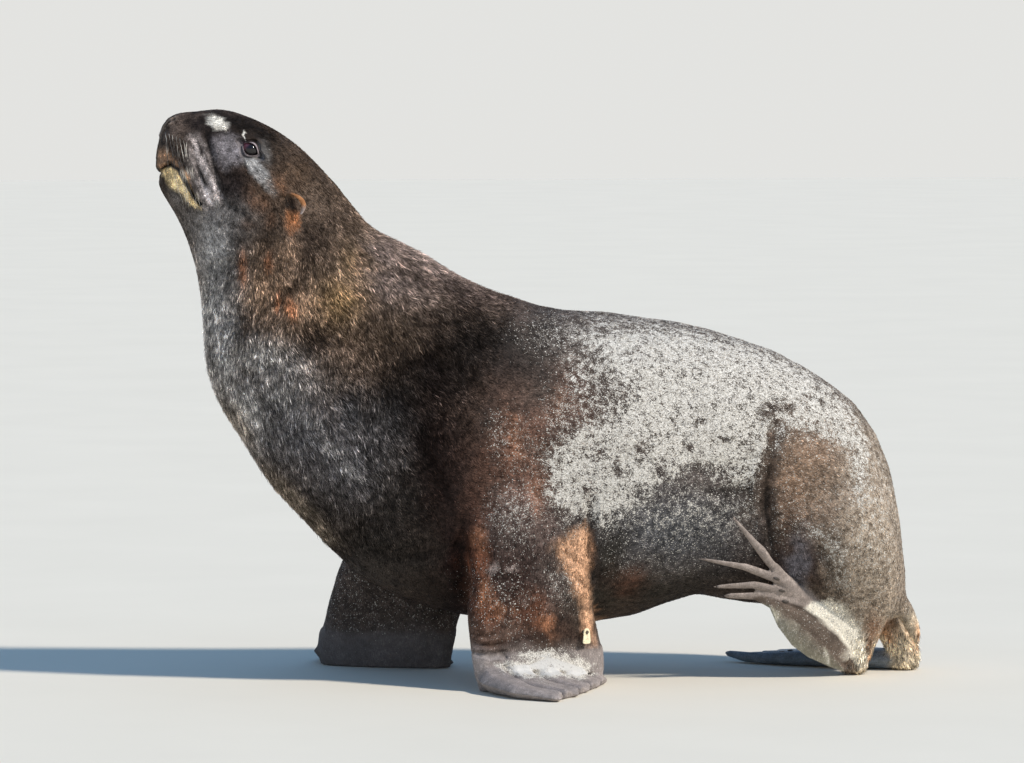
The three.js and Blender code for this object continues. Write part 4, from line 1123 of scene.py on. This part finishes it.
tree.links.new(span(tree, bare_amount, 0, 1, 1.0, 0.4), group.inputs["Mottle"])
furry = maths(tree, "MULTIPLY", strands, maths(tree, "SUBTRACT", 1.0, bare_amount, clamp=True))
leathery = maths(tree, "MULTIPLY", span(tree, creases.outputs["Distance"], 0, 0.12), bare_amount)
grit = maths(tree, "MULTIPLY", noise(tree, place, 330, 2, 0.7), group.outputs["Sand"])
height = maths(tree, "ADD", maths(tree, "ADD", furry, maths(tree, "MULTIPLY", leathery, 0.3)), grit)
bump_by(tree, shader, height, 0.0016, strength=0.8)
shader.inputs["Specular IOR Level"].default_value = 0.06
skin.data.materials.clear()
skin.data.materials.append(hide)

# %% Coat material
coat, tree, shader = new_material("coat")
pelt_nodes(tree, shader, attribute(tree, "tone").outputs["Fac"])
shader.inputs["Specular IOR Level"].default_value = 0.02

# %% [markdown]
# ## The coat
#
# Sea lion fur is short and coarse. On the neck, chest and shoulders of a bull it grows into a mane of two
# to three centimetres, and elsewhere it lies so flat that only its tips break the surface. Each tuft is a
# closed, tapered spike. Roots are scattered over the skin by area, more thickly where the fur is fine.
# The hair lies along the body from nose to tail, and down the limbs.

# %% Where the roots may go
mesh = skin.data
corners = np.empty(len(mesh.loops), np.int64)
mesh.loops.foreach_get("vertex_index", corners)
corners = corners.reshape(-1, 3)
unwrap = np.empty(len(mesh.loops) * 2, np.float32)
mesh.uv_layers["unwrap"].data.foreach_get("uv", unwrap)
unwrap = unwrap.reshape(-1, 3, 2)
outward = normals_of(skin)
points = points_of(skin)
ears = get_attribute(mesh, "ears")
edge_a, edge_b = points[corners[:, 1]] - points[corners[:, 0]], points[corners[:, 2]] - points[corners[:, 0]]
areas = np.linalg.norm(np.cross(edge_a, edge_b), axis=1) / 2
middles = points[corners].mean(1)
middle_run, _ = along_body(middles)
middle_mane = mane_of(middles, middle_run)
middle_bare = bare[corners].mean(1)
middle_toes = toes[corners].mean(1)
print("skin area in square metres:", round(areas.sum() / 1e6, 2))


def scatter(count, density, rng):
    """Seeded roots: the triangle that each is in, and its place in it."""
    weight = areas * density
    picks = np.searchsorted(np.cumsum(weight), rng.random(count) * weight.sum())
    picks = np.minimum(picks, len(areas) - 1)
    a, b = rng.random(count), rng.random(count)
    flip = a + b > 1
    a[flip], b[flip] = 1 - a[flip], 1 - b[flip]
    return picks, np.column_stack([1 - a - b, a, b])


def blend_corners(values, picks, shares):
    shares = shares.reshape(shares.shape + (1,) * (values[corners[:1]].ndim - 2))
    return (values[corners[picks]] * shares).sum(1)


def lie_of(mm, normal, way, mane):
    """The way the hair lies: nose to tail on the body, down on the limbs, always along the skin."""
    lie = np.column_stack([way[:, 0], np.zeros(len(mm)), way[:, 1]])
    down = limb_share(mm)[:, None]
    lie = lie * (1 - down) + np.array([0.12, 0, -1]) * down
    muzzle = smoothstep(-730, -800, mm[:, 0])[:, None]
    lie = lie * (1 - muzzle) + np.array([0.42, 0, -0.9]) * muzzle
    lie[:, 2] -= 0.45 * smoothstep(-150, -450, mm[:, 0]) * smoothstep(0.3, -0.4, normal[:, 0])
    lie[:, 2] -= 0.12 + 0.75 * mane
    lie -= normal * (lie * normal).sum(1)[:, None]
    return unit(lie)


# %% [markdown]
# Every tuft of one kind has the same few faces, so a whole piece of coat is built as one array: rings of
# three corners along a bent line, and a tip. On the coat's map a tuft is a patch about three thousandths
# across, at its root's place on the skin's unwrap.

# %% Build tufts
PATCH = 0.0015  # half a tuft's patch on the map
RING_EDGES = ((1, 0), (2, 1), (0, 2))


def tuft_mesh(name, root, normal, lie, length, width, rise, bend, colour, sand, tone, place, bent):
    """One piece of coat. Lengths are in mm. A bent tuft has a ring half way, a short one is a spike."""
    count = len(root)
    across = np.cross(normal, lie)
    steps = (0.0, 0.5) if bent else (0.0,)
    ring_points = []
    for t in steps:
        lean = rise * (1 - bend * t)
        middle = root + lie * (length * t)[:, None] + normal * (length * t * lean - 0.8 * (t == 0))[:, None]
        wide = (width * (1 - 0.25 * t))[:, None]
        thick = wide * 0.4
        ring_points += [middle + across * wide / 2, middle - across * wide / 2, middle + normal * thick]
    lean = rise * (1 - bend)
    tip = root + lie * length[:, None] + normal * (length * lean)[:, None]
    verts = np.stack(ring_points + [tip], axis=1)
    verts[..., 2] = np.maximum(verts[..., 2], 0.4)
    size = verts.shape[1]
    faces = [(0, 2, 1)]
    if bent:
        for i, j in RING_EDGES:
            faces += [(j, i, i + 3), (j, i + 3, j + 3)]
        faces += [(3 + j, 3 + i, 6) for i, j in RING_EDGES]
    else:
        faces += [(j, i, 3) for i, j in RING_EDGES]
    faces = np.array(faces)
    all_faces = (faces[None] + (np.arange(count) * size)[:, None, None]).reshape(-1, 3)
    data = bpy.data.meshes.new(name)
    data.vertices.add(count * size)
    data.vertices.foreach_set("co", to_frame(verts.reshape(-1, 3)).astype(np.float32).ravel())
    data.loops.add(len(all_faces) * 3)
    data.loops.foreach_set("vertex_index", all_faces.ravel().astype(np.int32))
    data.polygons.add(len(all_faces))
    data.polygons.foreach_set("loop_start", (np.arange(len(all_faces)) * 3).astype(np.int32))
    data.update(calc_edges=True)
    corner_angles = np.array([0, 2.1, 4.2])
    spread = [np.column_stack([np.cos(corner_angles), np.sin(corner_angles)]) * PATCH]
    if bent:
        spread.append(spread[0] * 0.55)
    spread = np.concatenate(spread + [np.zeros((1, 2))])
    uv_points = place[:, None] + spread[None]
    layer = data.uv_layers.new(name="OFBake")
    layer.data.foreach_set("uv", uv_points.reshape(-1, 2)[all_faces.ravel()].astype(np.float32).ravel())
    root_to_tip = np.concatenate([np.full(3, 0.6), np.full(3, 1.05) if bent else [], [1.5]])
    tones = (tone[:, None] * root_to_tip[None]).ravel()
    rgba = np.repeat(np.column_stack([colour, np.ones(count)]), size, axis=0)
    set_attribute(data, "pelt", "FLOAT_COLOR", rgba)
    set_attribute(data, "sand", "FLOAT", np.repeat(sand, size))
    set_attribute(data, "tone", "FLOAT", tones)
    data.polygons.foreach_set("use_smooth", np.ones(len(all_faces), bool))
    data.materials.append(coat)
    piece = bpy.data.objects.new(name, data)
    bpy.context.collection.objects.link(piece)
    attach(piece, "root")
    return len(all_faces)


def grow(name, count, density, seed, bent, look):
    """Scatters one piece of coat. look(mm, run, mane) gives length, width, rise and how unruly it is."""
    rng = np.random.default_rng(seed)
    picks, shares = scatter(count, density, rng)
    root = blend_corners(points, picks, shares)
    normal = unit(blend_corners(outward, picks, shares))
    run, way = along_body(root)
    mane = mane_of(root, run)
    root_bare = blend_corners(bare, picks, shares)
    root_toes = blend_corners(toes, picks, shares)
    length, width, rise, unruly = look(root, run, mane)
    lie = lie_of(root, normal, way, mane)
    sway = waves(root, 90, 41) * 0.25 + rng.normal(0, 1, count) * unruly
    lie = unit(lie + np.cross(normal, lie) * sway[:, None])
    root_ears = blend_corners(ears, picks, shares)
    colour, sand = markings(root, root_bare, root_toes, root_ears)
    sand = sand * np.where(rng.random(count) < 0.45, 0.35, 1)  # some tips stick out of the sand, dark
    # Neighbours share some of their tone, so that the fur reads as locks.
    tone = np.exp(0.45 * waves(root, 13, 51) + 0.25 * waves(root, 40, 52) + rng.normal(0, 0.55, count) - 0.2)
    silver = rng.random(count) < 0.12 + 0.06 * mane
    tone = np.where(silver, tone * 1.8, tone) * (1 + 0.35 * mane)
    place = (unwrap[picks] * shares[:, :, None]).sum(1)
    place = np.clip(place, PATCH, 1 - PATCH)
    rise = rise * np.exp(rng.normal(0, 0.25, count))
    length = length * rng.uniform(0.7, 1.2, count)
    width = width * rng.uniform(0.75, 1.25, count)
    bend = rng.uniform(0.2, 0.6, count)
    return tuft_mesh(
        name, root, normal, lie, length, width, rise, bend, colour, sand, tone, place, bent
    )


# %% [markdown]
# Four kinds of tuft make the coat: long bent locks on the mane with straight under-fur between them,
# short spikes on the body and limbs, which get shaggy at the heels, and the finest ones on the face. The
# locks, under-fur and body spikes are each split over several pieces, to keep every piece light.

# %% Grow the coat


def mane_look(mm, run, mane):
    return 8 + 11 * mane, 1.5 + 0.3 * mane, 0.30 + 0.08 * mane, 0.26


def under_look(mm, run, mane):
    return 7 + 9 * mane, 1.4 + 0.2 * mane, 0.26 + 0.06 * mane, 0.28


def body_look(mm, run, mane):
    heel = smoothstep(150, 60, mm[:, 2]) * (mm[:, 0] > 680)
    short = smoothstep(300, 120, mm[:, 2]) * (mm[:, 0] < 300)
    return 8 - 3 * short + 8 * heel, 1.7 + 0.6 * heel, 0.26 + 0.14 * heel, 0.2


def face_look(mm, run, mane):
    muzzle = 1 - smoothstep(60, 260, run)
    return 9.5 - 4.6 * muzzle, 1.6 - 0.3 * muzzle, np.full(len(mm), 0.26), 0.16


clear = np.clip(1 - middle_bare * 1.5, 0, 1)
heels = smoothstep(150, 60, middles[:, 2]) * (middles[:, 0] > 680) * (1 - middle_toes)
clear = np.maximum(clear, heels)
face_zone = 1 - smoothstep(300, 420, middle_run)
mane_density = smoothstep(0.03, 0.5, middle_mane) * clear
body_density = (1 - smoothstep(0.1, 0.5, middle_mane)) * (1 - face_zone) * clear * (1 + heels)
face_density = face_zone * (1 - smoothstep(0.3, 0.7, middle_mane)) * clear * (1 + 1.2 * (middle_run < 180))

coat_faces = 0
for number in range(2):
    coat_faces += grow(f"coat_mane_{number + 1}", 17_500, mane_density, 100 + number, True, mane_look)
for number in range(3):
    coat_faces += grow(f"coat_under_{number + 1}", 46_000, mane_density, 150 + number, False, under_look)
for number in range(2):
    coat_faces += grow(f"coat_body_{number + 1}", 46_000, body_density, 200 + number, False, body_look)
coat_faces += grow("coat_face", 46_000, face_density, 300, False, face_look)
print("coat:", coat_faces, "triangles")

# %% [markdown]
# ## Eyes, whiskers, nails and tag
#
# The eyes are balls of their own in the lids. The solids' ones are faceted, which a mirror-like surface
# would show, so smooth ones take their place. They are nearly black and wet, and a pink third lid shows
# in the front corner.

# %% Eyes
eye_glass, tree, shader = new_material("eye")
place = object_place(tree)
iris = mix(tree, noise(tree, place, 160, 2, 0.6), linear(8, 7, 10), linear(30, 22, 22))
pink = mix(tree, attribute(tree, "haw").outputs["Fac"], iris, linear(126, 74, 84))
tree.links.new(pink, shader.inputs["Base Color"])
shader.inputs["Roughness"].default_value = 0.09
shader.inputs["Specular IOR Level"].default_value = 0.55


def make_eye(name, node_name, side):
    """A smooth ball with a bulging cornea. side is 1 for the left eye and -1 for the right one."""
    bpy.ops.mesh.primitive_uv_sphere_add(segments=48, ring_count=32, radius=1)
    eye = only(bpy.context.object)
    eye.name = eye.data.name = name
    flat = np.empty(len(eye.data.vertices) * 3, np.float32)
    eye.data.vertices.foreach_get("co", flat)
    rays = unit(flat.reshape(-1, 3).astype(float))
    cornea = smoothstep(0.80, 0.95, rays @ (EYE_OUT * [1, side, 1]))
    ball = EYE_MM * [1, side, 1] + rays * (EYE_RADIUS + 1.2 * cornea)[:, None]
    set_points(eye, ball)
    set_attribute(eye.data, "haw", "FLOAT", 0.85 * smoothstep(-5, -16, eye_map(ball)[0]))
    eye.data.materials.append(eye_glass)
    bpy.ops.object.shade_smooth()
    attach(eye, "root")
    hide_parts(node_name)


make_eye("eyeball_left", "eye_left", 1)
make_eye("eyeball_right", "eye_right", -1)

# %% [markdown]
# Whiskers are thin, tapered and slightly bent. Each is a chain of small rings along a curve that leaves
# its pit sideways and hangs down and back. Both sides are one piece.

# %% Whiskers
RINGS, SIDES = 10, 4


def surface_y(x, z):
    """The skin's outermost Y on the left side, near a place seen from the side."""
    near = (points[:, 1] < 0) & (np.abs(points[:, 0] - x) < 6) & (np.abs(points[:, 2] - z) < 6)
    return points[near, 1].min() if near.any() else None


rng = np.random.default_rng(7)
verts, faces = [], []
for x, z in whisker_roots():
    y = surface_y(x, z)
    if y is None or rng.random() < 0.12:
        continue
    reach = rng.uniform(80, 150)
    start = np.array([x, y + 1.5, z])
    out = unit(np.array([rng.uniform(-0.25, 0.1), -0.7, -0.5 + rng.normal(0, 0.12)]))
    fall = np.array([0.26 + rng.normal(0, 0.10), -0.12, -0.95])
    chain = []
    for k in range(RINGS):
        t = k / (RINGS - 1)
        middle = start + out * reach * t * (1 - 0.55 * t) * 0.6 + fall * reach * (0.25 * t + 0.6 * t * t)
        skin_y = surface_y(middle[0], middle[2])
        if k and skin_y is not None:
            middle[1] = min(middle[1], skin_y - 2.5 - 5 * math.sin(math.pi * t))
        chain.append(middle)
    for side in (1, -1):
        first = len(verts)
        for k, middle in enumerate(chain):
            radius = 0.5 * (1 - k / (RINGS - 1)) + 0.14
            for j in range(SIDES):
                angle = 2 * math.pi * j / SIDES
                ring = np.array([math.cos(angle), 0.35 * math.sin(angle), math.sin(angle)]) * radius
                verts.append((middle + ring) * [1, side, 1])
        for k in range(RINGS - 1):
            for j in range(SIDES):
                a, b = first + k * SIDES + j, first + k * SIDES + (j + 1) % SIDES
                quad = (a, b, b + SIDES, a + SIDES)
                faces.append(quad if side > 0 else quad[::-1])
        root_cap = tuple(first + j for j in range(SIDES))
        tip_cap = tuple(corner + (RINGS - 1) * SIDES for corner in root_cap)
        faces += [root_cap[::-1], tip_cap] if side > 0 else [root_cap, tip_cap[::-1]]
mesh = bpy.data.meshes.new("whiskers")
mesh.from_pydata([tuple(v) for v in to_frame(np.array(verts))], [], faces)
whiskers = bpy.data.objects.new("whiskers", mesh)
bpy.context.collection.objects.link(whiskers)
in_edit_mode(whiskers, bpy.ops.mesh.normals_make_consistent, inside=False)
bpy.ops.object.shade_smooth()
bristle, tree, shader = new_material("bristle")
place = object_place(tree)
along = span(tree, noise(tree, place, 22, 1), 0.4, 0.6)
colour_by(tree, shader, along, linear(52, 44, 38), linear(206, 198, 184))
shader.inputs["Roughness"].default_value = 0.4
whiskers.data.materials.append(bristle)
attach(whiskers, "root")
print("whiskers:", len(verts) // (RINGS * SIDES))

# %% [markdown]
# Nails are dark horn with fine rings of growth, and the tag is matt plastic, scuffed by sand.

# %% Nails and tag


def dress(name, material):
    nodes[name].data.materials.clear()
    nodes[name].data.materials.append(material)


horn, tree, shader = new_material("horn")
place = object_place(tree)
streaks = noise(tree, place, 420, 3, 0.6)
colour_by(tree, shader, streaks, linear(30, 26, 24), linear(92, 82, 74))
shader.inputs["Roughness"].default_value = 0.42
for name in nodes:
    if name.startswith("nail_"):
        dress(name, horn)

plastic, tree, shader = new_material("tag_plastic")
place = object_place(tree)
dirt = span(tree, noise(tree, place, 190, 4, 0.7), 0.52, 0.68)
colour_by(tree, shader, dirt, linear(240, 228, 190), linear(178, 160, 126))
tree.links.new(span(tree, dirt, 0, 1, 0.42, 0.7), shader.inputs["Roughness"])
bump_by(tree, shader, dirt, 0.0004)
dress("flipper_tag", plastic)
stud_plastic, tree, shader = new_material("stud_plastic")
place = object_place(tree)
colour_by(tree, shader, noise(tree, place, 300, 2), linear(60, 52, 44), linear(110, 98, 80))
dress("tag_stud", stud_plastic)

# %% [markdown]
# ## Floor, light and camera
#
# A plain pale floor meets a pale sky that darkens upwards, so that the fill light stays soft. The key
# light stands high to the right and in front, and leaves the throat and chest in shade. The camera looks
# at the left side from 14 m, almost level, with a long lens.

# %% Floor and light
bpy.ops.mesh.primitive_plane_add(size=90, location=(0, 0, -0.0006))
floor = bpy.context.object
floor.name = "floor"
bpy.ops.object.transform_apply(location=True, rotation=True, scale=True)
pale, tree, shader = new_material("pale_floor")
place = object_place(tree)
colour_by(tree, shader, noise(tree, place, 1.6, 3), linear(220, 212, 196), linear(228, 220, 204))
shader.inputs["Roughness"].default_value = 0.9
floor.data.materials.append(pale)

world = bpy.data.worlds.new("studio")
bpy.context.scene.world = world
world.use_nodes = True
tree = world.node_tree
way = node(tree, "ShaderNodeSeparateXYZ")
tree.links.new(node(tree, "ShaderNodeTexCoord").outputs["Generated"], way.inputs[0])
glow = span(tree, way.outputs["Z"], 0.08, 0.5, 0.0, 1.0)
tree.links.new(
    mix(tree, glow, (0.77, 0.77, 0.75), (0.14, 0.30, 0.55)), tree.nodes["Background"].inputs["Color"]
)

sun = bpy.data.lights.new("key", "SUN")
sun.energy = 3.9
sun.angle = math.radians(5)
sun.color = (1.0, 0.94, 0.86)
lamp = bpy.data.objects.new("key", sun)
bpy.context.collection.objects.link(lamp)
lamp.rotation_euler = Vector((-6.0, 4.2, -6.6)).to_track_quat("-Z", "Y").to_euler()
bpy.context.scene.view_settings.view_transform = "Standard"

# %% Camera
AZIMUTH, ELEVATION, DISTANCE = math.radians(-6), math.radians(3.5), 14.0
TARGET = to_frame([-66.60, 0, 711.09])
back = np.array(
    [
        math.sin(AZIMUTH) * math.cos(ELEVATION),
        -math.cos(AZIMUTH) * math.cos(ELEVATION),
        math.sin(ELEVATION),
    ]
)
bpy.ops.object.camera_add(location=TARGET + back * DISTANCE)
camera = bpy.context.object
camera.rotation_euler = (math.pi / 2 - ELEVATION, 0, AZIMUTH)
camera.data.lens = 205.08
camera.data.sensor_width = 36
bpy.context.scene.camera = camera
